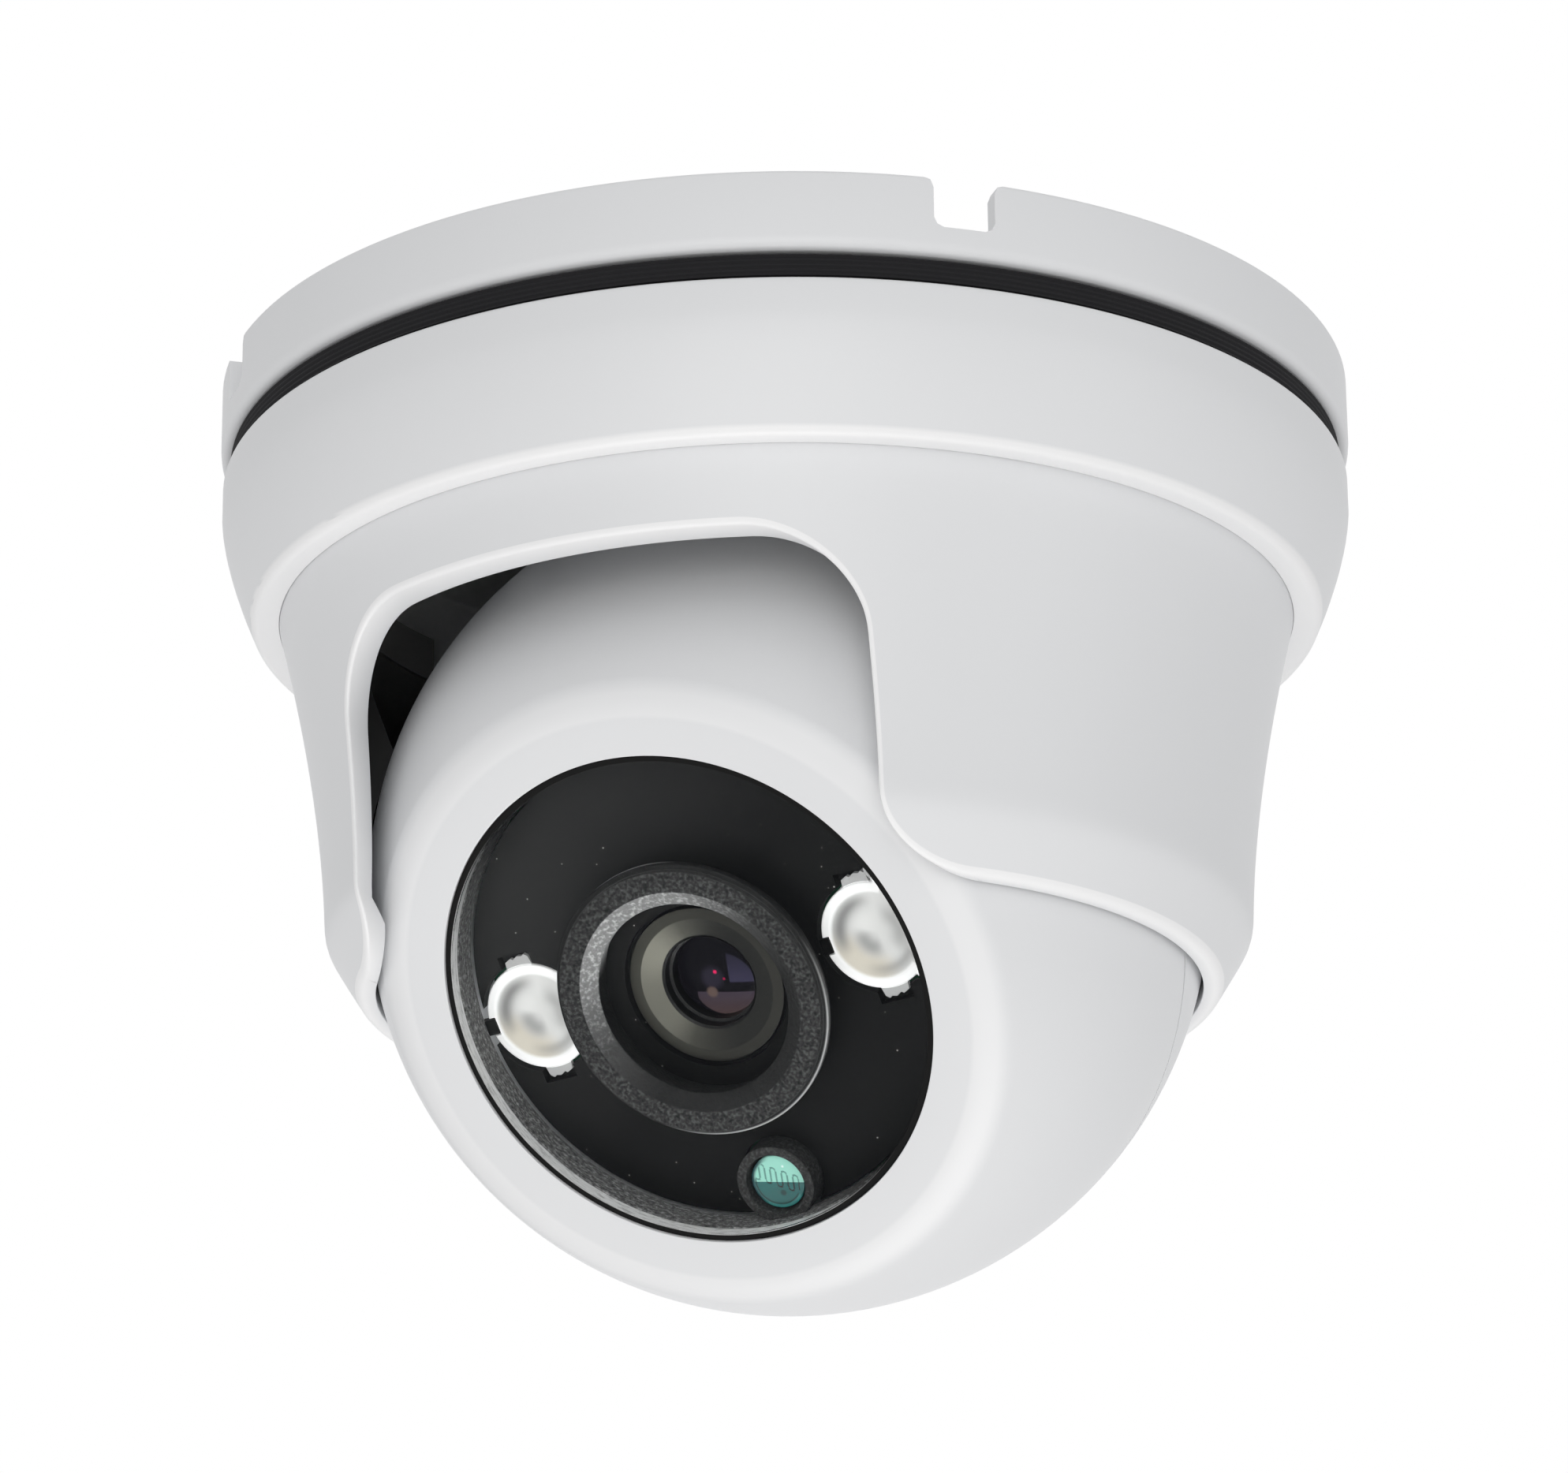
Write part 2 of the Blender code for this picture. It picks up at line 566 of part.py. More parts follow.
def build_trim():
    outside = trim_outside()
    foot = outside[-1][0] - TRIM_EDGE
    lower_bore = FLANGE_RADIUS + FIT_GAP
    profile = outside + [(foot, FOOT_BOTTOM), (MOUTH_RADIUS, TRIM_BOTTOM), (MOUTH_RADIUS, LEDGE_TOP)]
    profile += [(lower_bore, LEDGE_TOP), (lower_bore, FLANGE_TOP)]
    profile += [(TRIM_BORE, SPIGOT_BOTTOM), (TRIM_BORE, TRIM_TOP)]
    trim = piece("trim_ring", turned(profile), "white_shell")
    lug_top = TRIM_LUG_BOTTOM + LUG_HEIGHT
    ring_lugs = lugs(SPIGOT_RADIUS + FIT_GAP, TRIM_BORE + TRIM_WALL / 2, TRIM_LUG_BOTTOM, lug_top)
    combine(trim, "UNION", tool("trim_lugs", ring_lugs))


def collar_radius(height):
    """The collar's outer radius: it narrows from its neck to its waist."""
    share = (height - LIP_TOP) / (TRIM_BOTTOM - LIP_TOP)
    return WAIST_RADIUS + COLLAR_TAPER * max(0.0, min(1.0, share)) ** COLLAR_CURVE


def collar_bore(height):
    """The collar's inner radius: its wall thickens from the waist up to the notch's top."""
    share = (height - LIP_TOP) / (NOTCH_TOP - LIP_TOP)
    thickening = (COLLAR_NECK_WALL - COLLAR_WALL) * max(0.0, min(1.0, share))
    return collar_radius(height) - COLLAR_WALL - thickening


def collar_heights(top, bottom):
    return [top + (bottom - top) * step / CURVE_STEPS for step in range(CURVE_STEPS + 1)]


def seat_radius(height):
    """The spherical seat round the ball."""
    return math.sqrt(SEAT_RADIUS**2 - (height - BALL_CENTRE) ** 2)


def build_collar(pan):
    lip_foot = seat_radius(LIP_BOTTOM) + LIP_WALL
    seat_top = LIP_BOTTOM + SEAT_HEIGHT
    profile = [(FLANGE_RADIUS, FLANGE_TOP), (FLANGE_RADIUS, FLANGE_BOTTOM), (NECK_RADIUS, FLANGE_BOTTOM)]
    profile += [(collar_radius(z), z) for z in collar_heights(TRIM_BOTTOM, LIP_TOP)]
    profile += [(lip_foot, LIP_BOTTOM + LIP_EDGE), (lip_foot - LIP_EDGE, LIP_BOTTOM)]
    profile += [(seat_radius(LIP_BOTTOM), LIP_BOTTOM), (seat_radius(seat_top), seat_top)]
    profile += [(collar_bore(z), z) for z in collar_heights(LIP_TOP, TRIM_BOTTOM)]
    profile += [(collar_bore(FLANGE_TOP), FLANGE_TOP)]
    collar = piece("collar", turned(profile), "white_shell", pan)
    depth = NOTCH_TOP - LIP_BOTTOM
    cut = u_cutter(NOTCH_HALF_WIDTH, depth, NOTCH_CORNER, NOTCH_FLARE, OVERRUN, FLANGE_RADIUS)
    combine(collar, "DIFFERENCE", tool("notch_cut", moved(cut, 0.0, 0.0, LIP_BOTTOM), pan))
    build_cradle(pan)


def build_cradle(pan):
    """Two black halves inside the collar that hold the ball down on its lip, open at the front and back."""
    top, bottom = BALL_CENTRE + CRADLE_RISE, BALL_CENTRE - CRADLE_DROP
    profile = [(collar_bore(z) - FIT_GAP, z) for z in collar_heights(FLANGE_TOP, bottom)]
    profile += [(seat_radius(z), z) for z in collar_heights(bottom, top)]
    profile += [(collar_bore(FLANGE_TOP) - FIT_GAP - CRADLE_RIM_WALL, FLANGE_TOP)]
    for name, side in SIDES:
        first, last = sorted((side * CRADLE_FRONT_ANGLE - 90.0, side * CRADLE_REAR_ANGLE - 90.0))
        half = turned(profile, FINE_SEGMENTS // 2, first, last)
        piece(f"ball_cradle_{name}", half, "black_plastic", pan)


def shell_bosses(low, high, limit):
    """Bosses for the screws that close the ball, kept inside its wall."""
    places = round_places(SHELL_BOSS_COUNT, SHELL_BOSS_CIRCLE, 90.0)
    bosses = rods(SHELL_BOSS_RADIUS, low, high, places, SMALL_SEGMENTS)
    item = tool("shell_bosses", bosses, limit.parent)
    combine(item, "INTERSECT", limit)
    return item


def ball_limit(roll):
    """A sphere in the middle of the ball's wall, which ends the bosses."""
    radius = (BALL_RADIUS + BALL_BORE) / 2
    profile = sphere_arc(radius, -radius, radius, 2 * CURVE_STEPS)
    profile[0] = (0.0, -radius)
    profile[-1] = (0.0, radius)
    return tool("ball_limit", turned(profile, FINE_SEGMENTS), roll)


def build_front_shell(roll, limit):
    bore_end = LAMP_BOARD_FRONT + FIT_GAP
    wall_inner = FACE - BALL_WALL
    tube_radius = WINDOW_RADIUS + BALL_WALL
    edge_height = FACE - BEZEL_EDGE / 2
    profile = sphere_arc(BALL_RADIUS, FRONT_SEAM, edge_height)
    profile += [(FACE_RADIUS - BEZEL_EDGE / 2, FACE), (WINDOW_RADIUS, FACE), (WINDOW_RADIUS, bore_end)]
    profile += [(tube_radius, bore_end), (tube_radius, wall_inner)]
    profile += sphere_arc(BALL_BORE, wall_inner, FRONT_SEAM)
    shell = piece("ball_front_shell", turned(profile), "white_shell", roll)
    bosses = rods(BOSS_RADIUS, bore_end, FACE - BALL_WALL / 2, CORNERS, SMALL_SEGMENTS)
    board_bosses = tool("board_bosses", bosses, roll)
    combine(board_bosses, "INTERSECT", limit)
    window_core = rod(WINDOW_RADIUS + BALL_WALL / 2, 0.0, FACE, SEGMENTS)
    combine(board_bosses, "DIFFERENCE", tool("window_core", window_core, roll))
    combine(shell, "UNION", board_bosses)
    combine(shell, "UNION", shell_bosses(FRONT_SEAM + FIT_GAP, FACE - BALL_WALL, limit))
    stud_holes = rods(STUD_RADIUS + SHANK_GAP, 0.0, stud_tip() + FIT_GAP, CORNERS)
    places = round_places(SHELL_BOSS_COUNT, SHELL_BOSS_CIRCLE, 90.0)
    screw_holes = rods(SCREW_RADIUS + SHANK_GAP, 0.0, SEAM_OFFSET + SHELL_SCREW_REACH + FIT_GAP, places)
    combine(shell, "DIFFERENCE", tool("front_shell_holes", joined([stud_holes, screw_holes]), roll))


def stud_tip():
    return STANDOFF_TOP + STUD_LENGTH


def build_rear_shell(roll, limit):
    step_radius = BALL_RADIUS - BALL_WALL / 2
    step_height = REAR_SEAM - SEAL_DEPTH - FIT_GAP
    profile = sphere_arc(BALL_RADIUS, REAR_FLAT, REAR_SEAM, CURVE_STEPS + FILLET_STEPS)
    profile += [(step_radius, REAR_SEAM), (step_radius, step_height)]
    profile += sphere_arc(BALL_BORE, step_height, REAR_FLAT_INNER, CURVE_STEPS + FILLET_STEPS)
    profile += [(GLAND_HOLE_RADIUS, REAR_FLAT_INNER), (GLAND_HOLE_RADIUS, REAR_FLAT)]
    shell = piece("ball_rear_shell", turned(profile), "white_shell", roll)
    combine(shell, "UNION", shell_bosses(-BALL_RADIUS, REAR_SEAM - FIT_GAP, limit))
    places = round_places(SHELL_BOSS_COUNT, SHELL_BOSS_CIRCLE, 90.0)
    seat = SEAM_OFFSET - SHELL_SCREW_SEAT
    shaft, sink = SCREW_RADIUS + SHANK_GAP, SCREW_HEAD_RADIUS + FIT_GAP
    profile = [(0.0, -BALL_RADIUS), (sink, -BALL_RADIUS), (sink, seat)]
    profile += [(shaft, seat), (shaft, FACE), (0.0, FACE)]
    holes = joined([moved(turned(profile, SCREW_SEGMENTS), x, y) for x, y in places])
    combine(shell, "DIFFERENCE", tool("rear_shell_holes", holes, roll))
    screw("shell_screw", seat - FIT_GAP, SHELL_SCREW_SEAT + FIT_GAP + SHELL_SCREW_REACH, places, roll)
    seal_radius = step_radius - FIT_GAP
    seal = tube(seal_radius - SEAL_WIDTH, seal_radius, REAR_SEAM - SEAL_DEPTH, REAR_SEAM)
    piece("shell_seal", seal, "black_rubber", roll)


def build_gland(tilt):
    """The cable gland at the back of the ball. The ball rolls round it, so the cable isn't wound up."""
    shaft = GLAND_HOLE_RADIUS - FIT_GAP
    rim = GLAND_HOLE_RADIUS + GLAND_REACH
    outer = REAR_FLAT - FIT_GAP
    clip_back = REAR_FLAT_INNER + FIT_GAP
    clip_front = clip_back + GLAND_CLIP
    tail = clip_front + GLAND_TAIL
    profile = [(GLAND_BORE, outer - GLAND_FLANGE), (rim, outer - GLAND_FLANGE), (rim, outer)]
    profile += [(shaft, outer), (shaft, tail), (GLAND_BORE, tail)]
    piece("swivel_gland", turned(profile, FINE_SEGMENTS), "black_plastic", tilt)
    clip = tube(shaft + SHANK_GAP, rim, clip_back, clip_front, FINE_SEGMENTS)
    piece("gland_clip", clip, "steel", tilt)
    sleeve_radius = GLAND_BORE - SHANK_GAP
    sleeve = tube(sleeve_radius - CABLE_SEAL_WALL, sleeve_radius, outer, tail, FINE_SEGMENTS)
    piece("cable_seal", sleeve, "black_rubber", tilt)


def build_window(roll):
    edge = MASK_RADIUS - GLASS_EDGE
    profile = [(0.0, GLASS_BACK), (MASK_RADIUS, GLASS_BACK), (MASK_RADIUS, GLASS_FRONT - GLASS_EDGE)]
    profile += [(edge, GLASS_FRONT), (0.0, GLASS_FRONT)]
    piece("window_glass", turned(profile), "window", roll)
    seal = tube(MASK_RADIUS - WINDOW_SEAL_WALL, MASK_RADIUS, HOOD_BACK, HOOD_FRONT)
    piece("window_seal", seal, "black_rubber", roll)
    profile = [(HOOD_BORE, HOOD_BACK), (HOOD_RADIUS, HOOD_BACK), (HOOD_RADIUS, HOOD_FRONT - HOOD_EDGE)]
    profile += [(HOOD_RADIUS - HOOD_EDGE, HOOD_FRONT), (HOOD_FACE_RADIUS, HOOD_FRONT)]
    profile += [(HOOD_BORE, HOOD_FRONT - HOOD_CHAMFER)]
    piece("lens_hood", turned(profile, FINE_SEGMENTS), "black_rubber", roll)
    build_mask(roll)


def build_mask(roll):
    mask = piece("mask_plate", rod(MASK_RADIUS, MASK_BACK, MASK_FRONT, SEGMENTS), "black_plastic", roll)
    circle = MASK_RADIUS - MASK_EDGE - 2 * MASK_POST_RADIUS
    low, high = MASK_BACK - MASK_POST, MASK_BACK + MASK_THICKNESS / 2
    posts = rods(MASK_POST_RADIUS, low, high, round_places(MASK_POST_COUNT, circle, 45.0))
    combine(mask, "UNION", tool("mask_posts", posts, roll))
    low, high = MASK_BACK - OVERRUN, MASK_FRONT + OVERRUN
    lamp_places = [(side * LAMP_OFFSET, LAMP_RISE) for _, side in SIDES]
    cuts = [rod(LENS_HEAD_RADIUS + 2 * SHANK_GAP, low, high, FINE_SEGMENTS)]
    cuts += [rods(LAMP_HOLE_RADIUS, low, high, lamp_places, FINE_SEGMENTS)]
    cuts += [rods(SLEEVE_HOLE_RADIUS, low, high, [(0.0, -LIGHT_SENSOR_OFFSET)], FINE_SEGMENTS)]
    combine(mask, "DIFFERENCE", tool("mask_holes", joined(cuts), roll))


def element(name, low, radius, finish, roll):
    """A small glass lens: flat at the back, bulging in front."""
    shoulder = low + ELEMENT_THICKNESS - ELEMENT_BULGE
    profile = [(0.0, low), (radius, low), (radius, shoulder)]
    for step in range(1, FILLET_STEPS):
        share = step / FILLET_STEPS
        profile.append((radius * (1 - share), shoulder + ELEMENT_BULGE * (1 - (1 - share) ** 2)))
    profile.append((0.0, shoulder + ELEMENT_BULGE))
    piece(name, turned(profile, SMALL_SEGMENTS), finish, roll)


def build_lens(roll):
    head_back = LENS_FRONT - LENS_HEAD_HEIGHT
    cone_end = LENS_FRONT - LENS_CONE_DEPTH
    throat = cone_end - LENS_THROAT_DEPTH
    pocket = ELEMENT_RADIUS + SHANK_GAP
    front_seat = throat - ELEMENT_THICKNESS - FIT_GAP
    rear_seat = LENS_BACK + ELEMENT_THICKNESS + FIT_GAP
    profile = [(pocket, LENS_BACK), (LENS_THREAD_RADIUS, LENS_BACK), (LENS_THREAD_RADIUS, head_back)]
    profile += [(LENS_HEAD_RADIUS, head_back), (LENS_HEAD_RADIUS, LENS_FRONT)]
    profile += [(LENS_HEAD_RADIUS - LENS_RIM, LENS_FRONT), (LENS_CONE_RADIUS, cone_end), (pocket, throat)]
    profile += [(pocket, front_seat), (LENS_STOP_RADIUS, front_seat)]
    profile += [(LENS_STOP_RADIUS, rear_seat), (pocket, rear_seat)]
    piece("lens_barrel", turned(profile, FINE_SEGMENTS), "lens_metal", roll)
    element("lens_front_element", front_seat + FIT_GAP, ELEMENT_RADIUS, "optical_glass", roll)
    element("lens_rear_element", LENS_BACK, ELEMENT_RADIUS, "optical_glass", roll)


def slot_half_width():
    return carrier_width() / 2 + FIT_GAP


def carrier_width():
    return FILTER_PANE_WIDTH + 2 * SHANK_GAP + 2 * FILTER_BAR


def carrier_ends():
    """The carrier's ends along X with the infrared filter over the sensor."""
    half_aperture = FILTER_PANE_LENGTH / 2 + SHANK_GAP
    return -FILTER_TRAVEL - half_aperture - FILTER_BAR, half_aperture + FILTER_BAR


def build_holder(roll):
    block_top = HOLDER_BOTTOM + HOLDER_BLOCK_HEIGHT
    foot = block(HOLDER_LENGTH, HOLDER_WIDTH, HOLDER_BOTTOM, block_top)
    holder = piece("lens_holder", foot, "black_plastic", roll)
    bore = LENS_THREAD_RADIUS + SHANK_GAP
    neck = rod(bore + HOLDER_TUBE_WALL, block_top - OVERRUN, HOLDER_TOP, FINE_SEGMENTS)
    combine(holder, "UNION", tool("holder_neck", neck, roll))
    seat = LENS_BACK - FIT_GAP
    profile = [(0.0, CARRIER_BOTTOM), (LIGHT_HOLE_RADIUS, CARRIER_BOTTOM), (LIGHT_HOLE_RADIUS, seat)]
    profile += [(bore, seat), (bore, HOLDER_TOP + OVERRUN), (0.0, HOLDER_TOP + OVERRUN)]
    combine(holder, "DIFFERENCE", tool("holder_bore", turned(profile, FINE_SEGMENTS), roll))
    slot_start = carrier_ends()[0] - FIT_GAP
    slot_end = HOLDER_LENGTH / 2 + OVERRUN
    slot_length = slot_end - slot_start
    slot = block(slot_length, 2 * slot_half_width(), CARRIER_BOTTOM - FIT_GAP, CARRIER_TOP + FIT_GAP)
    combine(holder, "DIFFERENCE", tool("filter_slot", moved(slot, slot_end - slot_length / 2, 0.0), roll))
    room_length = IMAGE_SENSOR_LENGTH + 4 * FIT_GAP
    room_width = 2 * (slot_half_width() - FILTER_RAIL)
    room = block(room_length, room_width, HOLDER_BOTTOM - OVERRUN, CARRIER_BOTTOM)
    combine(holder, "DIFFERENCE", tool("sensor_room", room, roll))
    places = [(0.0, side * HOLDER_SCREW_OFFSET) for _, side in SIDES]
    holes = rods(SCREW_RADIUS + SHANK_GAP, BOARD_BACK, BOARD_BACK + HOLDER_SCREW_REACH, places)
    combine(holder, "DIFFERENCE", tool("holder_screw_holes", holes, roll))
    screw("holder_screw", BOARD_BACK - FIT_GAP, HOLDER_SCREW_REACH, places, roll)
    coil = rotated(rod(SOLENOID_RADIUS, -SOLENOID_LENGTH / 2, SOLENOID_LENGTH / 2), 90.0, "X")
    x = HOLDER_LENGTH / 2 + FIT_GAP + SOLENOID_RADIUS
    piece("filter_solenoid", moved(coil, x, 0.0, HOLDER_BOTTOM + SOLENOID_RADIUS), "copper_wire", roll)


def build_filter(roll):
    """The carrier that slides a day filter or a clear pane in front of the image sensor."""
    first, last = carrier_ends()
    middle = (first + last) / 2
    frame = moved(block(last - first, carrier_width(), CARRIER_BOTTOM, CARRIER_TOP), middle, 0.0)
    carrier = piece("filter_carrier", frame, "black_plastic", roll)
    length, width = FILTER_PANE_LENGTH + 2 * SHANK_GAP, FILTER_PANE_WIDTH + 2 * SHANK_GAP
    low, high = CARRIER_BOTTOM - OVERRUN, CARRIER_TOP + OVERRUN
    windows = joined([moved(block(length, width, low, high), x, 0.0) for x in (0.0, -FILTER_TRAVEL)])
    combine(carrier, "DIFFERENCE", tool("filter_windows", windows, roll))
    low = (CARRIER_BOTTOM + CARRIER_TOP - FILTER_PANE_THICKNESS) / 2
    for name, x, finish in (("ir_cut_pane", 0.0, "red_filter"), ("clear_pane", -FILTER_TRAVEL, "window")):
        pane = block(FILTER_PANE_LENGTH, FILTER_PANE_WIDTH, low, low + FILTER_PANE_THICKNESS)
        piece(name, moved(pane, x, 0.0), finish, roll)


def build_sensor_board(roll):
    plate = block(BOARD_SIDE, BOARD_SIDE, BOARD_BACK, BOARD_FRONT)
    board = piece("sensor_board", plate, "circuit_board", roll)
    places = CORNERS + [(0.0, side * HOLDER_SCREW_OFFSET) for _, side in SIDES]
    holes = rods(SCREW_RADIUS + SHANK_GAP, BOARD_BACK - OVERRUN, BOARD_FRONT + OVERRUN, places)
    combine(board, "DIFFERENCE", tool("sensor_board_holes", holes, roll))
    front = BOARD_FRONT + FIT_GAP
    back = BOARD_BACK - FIT_GAP
    chip = block(IMAGE_SENSOR_LENGTH, IMAGE_SENSOR_WIDTH, front, front + IMAGE_SENSOR_HEIGHT)
    piece("image_sensor", chip, "chip", roll)
    chip = block(PROCESSOR_SIDE, PROCESSOR_SIDE, back - PROCESSOR_HEIGHT, back)
    piece("processor_chip", moved(chip, -PROCESSOR_SIDE, 0.0), "chip", roll)
    socket = block(CONNECTOR_WIDTH, CONNECTOR_LENGTH, back - CONNECTOR_HEIGHT, back)
    piece("cable_connector", moved(socket, BOSS_OFFSET - CONNECTOR_WIDTH, 0.0), "cream_plastic", roll)
    screw("board_screw", back, BOARD_SCREW_REACH + BOARD_THICKNESS, CORNERS, roll)
    build_standoffs(roll)


def build_standoffs(roll):
    """Spacers between the boards. Each has a stud that goes through the lamp board into the front shell."""
    hole = SCREW_RADIUS + SHANK_GAP
    hole_end = STANDOFF_BOTTOM + BOARD_SCREW_REACH + FIT_GAP
    profile = [(hole, STANDOFF_BOTTOM), (STANDOFF_RADIUS, STANDOFF_BOTTOM), (STANDOFF_RADIUS, STANDOFF_TOP)]
    profile += [(STUD_RADIUS, STANDOFF_TOP), (STUD_RADIUS, stud_tip()), (0.0, stud_tip())]
    profile += [(0.0, hole_end), (hole, hole_end)]
    for number, (x, y) in enumerate(CORNERS, 1):
        piece(f"standoff_{number}", moved(turned(profile, SCREW_SEGMENTS), x, y), "brass", roll)


def build_lamp_board(roll):
    board = tube(LAMP_BOARD_BORE, LAMP_BOARD_RADIUS, LAMP_BOARD_BACK, LAMP_BOARD_FRONT)
    item = piece("lamp_board", board, "circuit_board", roll)
    low, high = LAMP_BOARD_BACK - OVERRUN, LAMP_BOARD_FRONT + OVERRUN
    stud_holes = rods(STUD_RADIUS + SHANK_GAP, low, high, CORNERS)
    places = round_places(SHELL_BOSS_COUNT, SHELL_BOSS_CIRCLE, 90.0)
    reliefs = rods(SHELL_BOSS_RADIUS + BOSS_RELIEF, low, high, places, SMALL_SEGMENTS)
    combine(item, "DIFFERENCE", tool("lamp_board_cuts", joined([stud_holes, reliefs]), roll))
    floor = LAMP_BOARD_FRONT + FIT_GAP
    for name, side in SIDES:
        chip = block(EMITTER_SIDE, EMITTER_SIDE, floor, floor + EMITTER_HEIGHT)
        piece(f"lamp_emitter_{name}", moved(chip, side * LAMP_OFFSET, LAMP_RISE), "cream_plastic", roll)
        piece(f"lamp_lens_{name}", moved(lamp_lens(floor), side * LAMP_OFFSET, LAMP_RISE), "lamp_lens", roll)
    build_light_sensor(floor, roll)


def lamp_lens(floor):
    """A frosted cap over the emitter, dished in front."""
    top = MASK_FRONT - LAMP_LENS_SINK
    bore = LAMP_LENS_RADIUS - LAMP_LENS_WALL
    rim = LAMP_LENS_RADIUS - LAMP_LENS_WALL / 2
    profile = [(bore, floor), (LAMP_LENS_RADIUS, floor), (LAMP_LENS_RADIUS, top - LAMP_LENS_WALL), (rim, top)]
    profile += [(bore, top), (bore / 2, top - LAMP_DISH), (0.0, top - LAMP_DISH / 2)]
    profile += [(0.0, floor + LAMP_ROOM), (bore, floor + LAMP_ROOM)]
    return turned(profile, FINE_SEGMENTS)


def build_light_sensor(floor, roll):
    """The light sensor below the lens, in a rubber sleeve under a coloured filter."""
    y = -LIGHT_SENSOR_OFFSET
    filter_back = floor + LIGHT_SENSOR_HEIGHT + FIT_GAP
    cell = rod(LIGHT_SENSOR_RADIUS, floor, floor + LIGHT_SENSOR_HEIGHT)
    piece("light_sensor", moved(cell, 0.0, y), "cream_plastic", roll)
    disc = rod(LIGHT_SENSOR_RADIUS, filter_back, filter_back + LIGHT_FILTER_THICKNESS, FINE_SEGMENTS)
    piece("light_sensor_filter", moved(disc, 0.0, y), "teal_filter", roll)
    sleeve = tube(SLEEVE_BORE, SLEEVE_RADIUS, floor, MASK_FRONT + SLEEVE_PROUD, FINE_SEGMENTS)
    piece("light_sensor_sleeve", moved(sleeve, 0.0, y), "black_rubber", roll)


def build_ball(tilt, roll):
    limit = ball_limit(roll)
    build_front_shell(roll, limit)
    build_rear_shell(roll, limit)
    build_gland(tilt)
    build_window(roll)
    build_lens(roll)
    build_holder(roll)
    build_filter(roll)
    build_sensor_board(roll)
    build_lamp_board(roll)


def build_camera():
    clear_scene()
    build_base()
    build_trim()
    pan = axis_empty("pan_axis", (0.0, 0.0, 0.0), (0.0, 0.0, 0.0))
    build_collar(pan)
    face_down = math.radians(90.0 + TILT_AT_REST)
    tilt = axis_empty("tilt_axis", (0.0, 0.0, BALL_CENTRE), (face_down, 0.0, 0.0), pan)
    roll = axis_empty("roll_axis", (0.0, 0.0, 0.0), (0.0, 0.0, math.radians(ROLL_AT_REST)), tilt)
    build_ball(tilt, roll)


build_camera()
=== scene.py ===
# %% [markdown]
# # A turret dome camera, dressed for a close look
# The solids come packed, in metres, with the ceiling at Z = 0 and the lens looking out along -Y and down.
# This lesson gives them fine shapes and finishes. Small pieces deep inside keep their solid and get a finish.
# The order is the one a maker would follow: light first, then finishes, then the pieces from the ceiling down.

import json
import math

import bmesh
import bpy
import numpy as np
from mathutils import Matrix, Vector


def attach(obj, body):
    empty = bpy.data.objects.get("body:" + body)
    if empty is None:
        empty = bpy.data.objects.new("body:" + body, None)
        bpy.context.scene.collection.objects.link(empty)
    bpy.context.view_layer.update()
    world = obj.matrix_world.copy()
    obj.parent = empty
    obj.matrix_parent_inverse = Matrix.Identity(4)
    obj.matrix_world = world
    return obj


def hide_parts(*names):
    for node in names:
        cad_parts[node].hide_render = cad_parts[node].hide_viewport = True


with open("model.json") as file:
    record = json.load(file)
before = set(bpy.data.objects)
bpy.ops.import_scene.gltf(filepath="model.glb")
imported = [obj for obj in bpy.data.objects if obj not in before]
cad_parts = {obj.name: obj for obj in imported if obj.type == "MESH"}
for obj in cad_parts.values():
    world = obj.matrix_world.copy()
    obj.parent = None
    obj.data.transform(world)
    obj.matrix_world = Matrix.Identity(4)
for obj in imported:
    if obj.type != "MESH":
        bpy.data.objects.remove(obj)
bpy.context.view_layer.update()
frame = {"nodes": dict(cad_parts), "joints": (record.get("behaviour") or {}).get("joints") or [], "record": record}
MM = 0.001

# %% [markdown]
# ## The ball's own frame
# Everything inside the ball is turned about the lens axis, so it is drawn upright in the ball's frame and then
# laid into place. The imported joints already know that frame: the roll joint runs along the lens axis through the
# ball's centre, and the day and night filter slides straight across it. Reading them keeps both in step.

# %% Read the ball's frame from the joints
joints = {joint["name"]: joint for joint in frame["joints"]}
lens_axis = Vector(joints["roll"]["axis"]).normalized()
across = Vector(joints["filter_slide"]["axis"]).normalized()
upward = lens_axis.cross(across)
ball_centre = Vector(joints["roll"]["pos_m"])
in_ball = Matrix((across, upward, lens_axis)).transposed().to_4x4()
in_ball.translation = ball_centre
CENTRE_HEIGHT = ball_centre.z / MM
print("lens axis", [round(x, 3) for x in lens_axis], "ball centre at", round(CENTRE_HEIGHT, 2), "mm")

# %% [markdown]
# ## Camera
# The photograph was taken from a little below and from the right, close to the object, so the near parts look
# larger. The distance, the angles and the focal length were found by fitting circles of the ring, the collar and
# the window to the picture. The camera is turned by half a degree about its own axis as well.

# %% Place the camera
AZIMUTH, ELEVATION, LEAN = (math.radians(angle) for angle in (27.3, -19.543, -0.5))
DISTANCE = 500 * MM
side = Vector((math.cos(AZIMUTH), math.sin(AZIMUTH), 0))
back = Vector((math.sin(AZIMUTH), -math.cos(AZIMUTH), 0)) * math.cos(ELEVATION)
back.z = math.sin(ELEVATION)
above = back.cross(side)
right = side * math.cos(LEAN) + above * math.sin(LEAN)
target = side * -0.28 * MM + Vector((0, 0, -29.677 * MM))
camera = bpy.data.objects.new("camera", bpy.data.cameras.new("camera"))
camera.data.lens = 138.2
camera.data.sensor_width = 36
camera.data.clip_start = 0.01
camera.matrix_world = Matrix((right, back.cross(right), back)).transposed().to_4x4()
camera.matrix_world.translation = target + back * DISTANCE
bpy.context.scene.collection.objects.link(camera)
bpy.context.scene.camera = camera
print("camera at", [round(x, 3) for x in camera.matrix_world.translation])

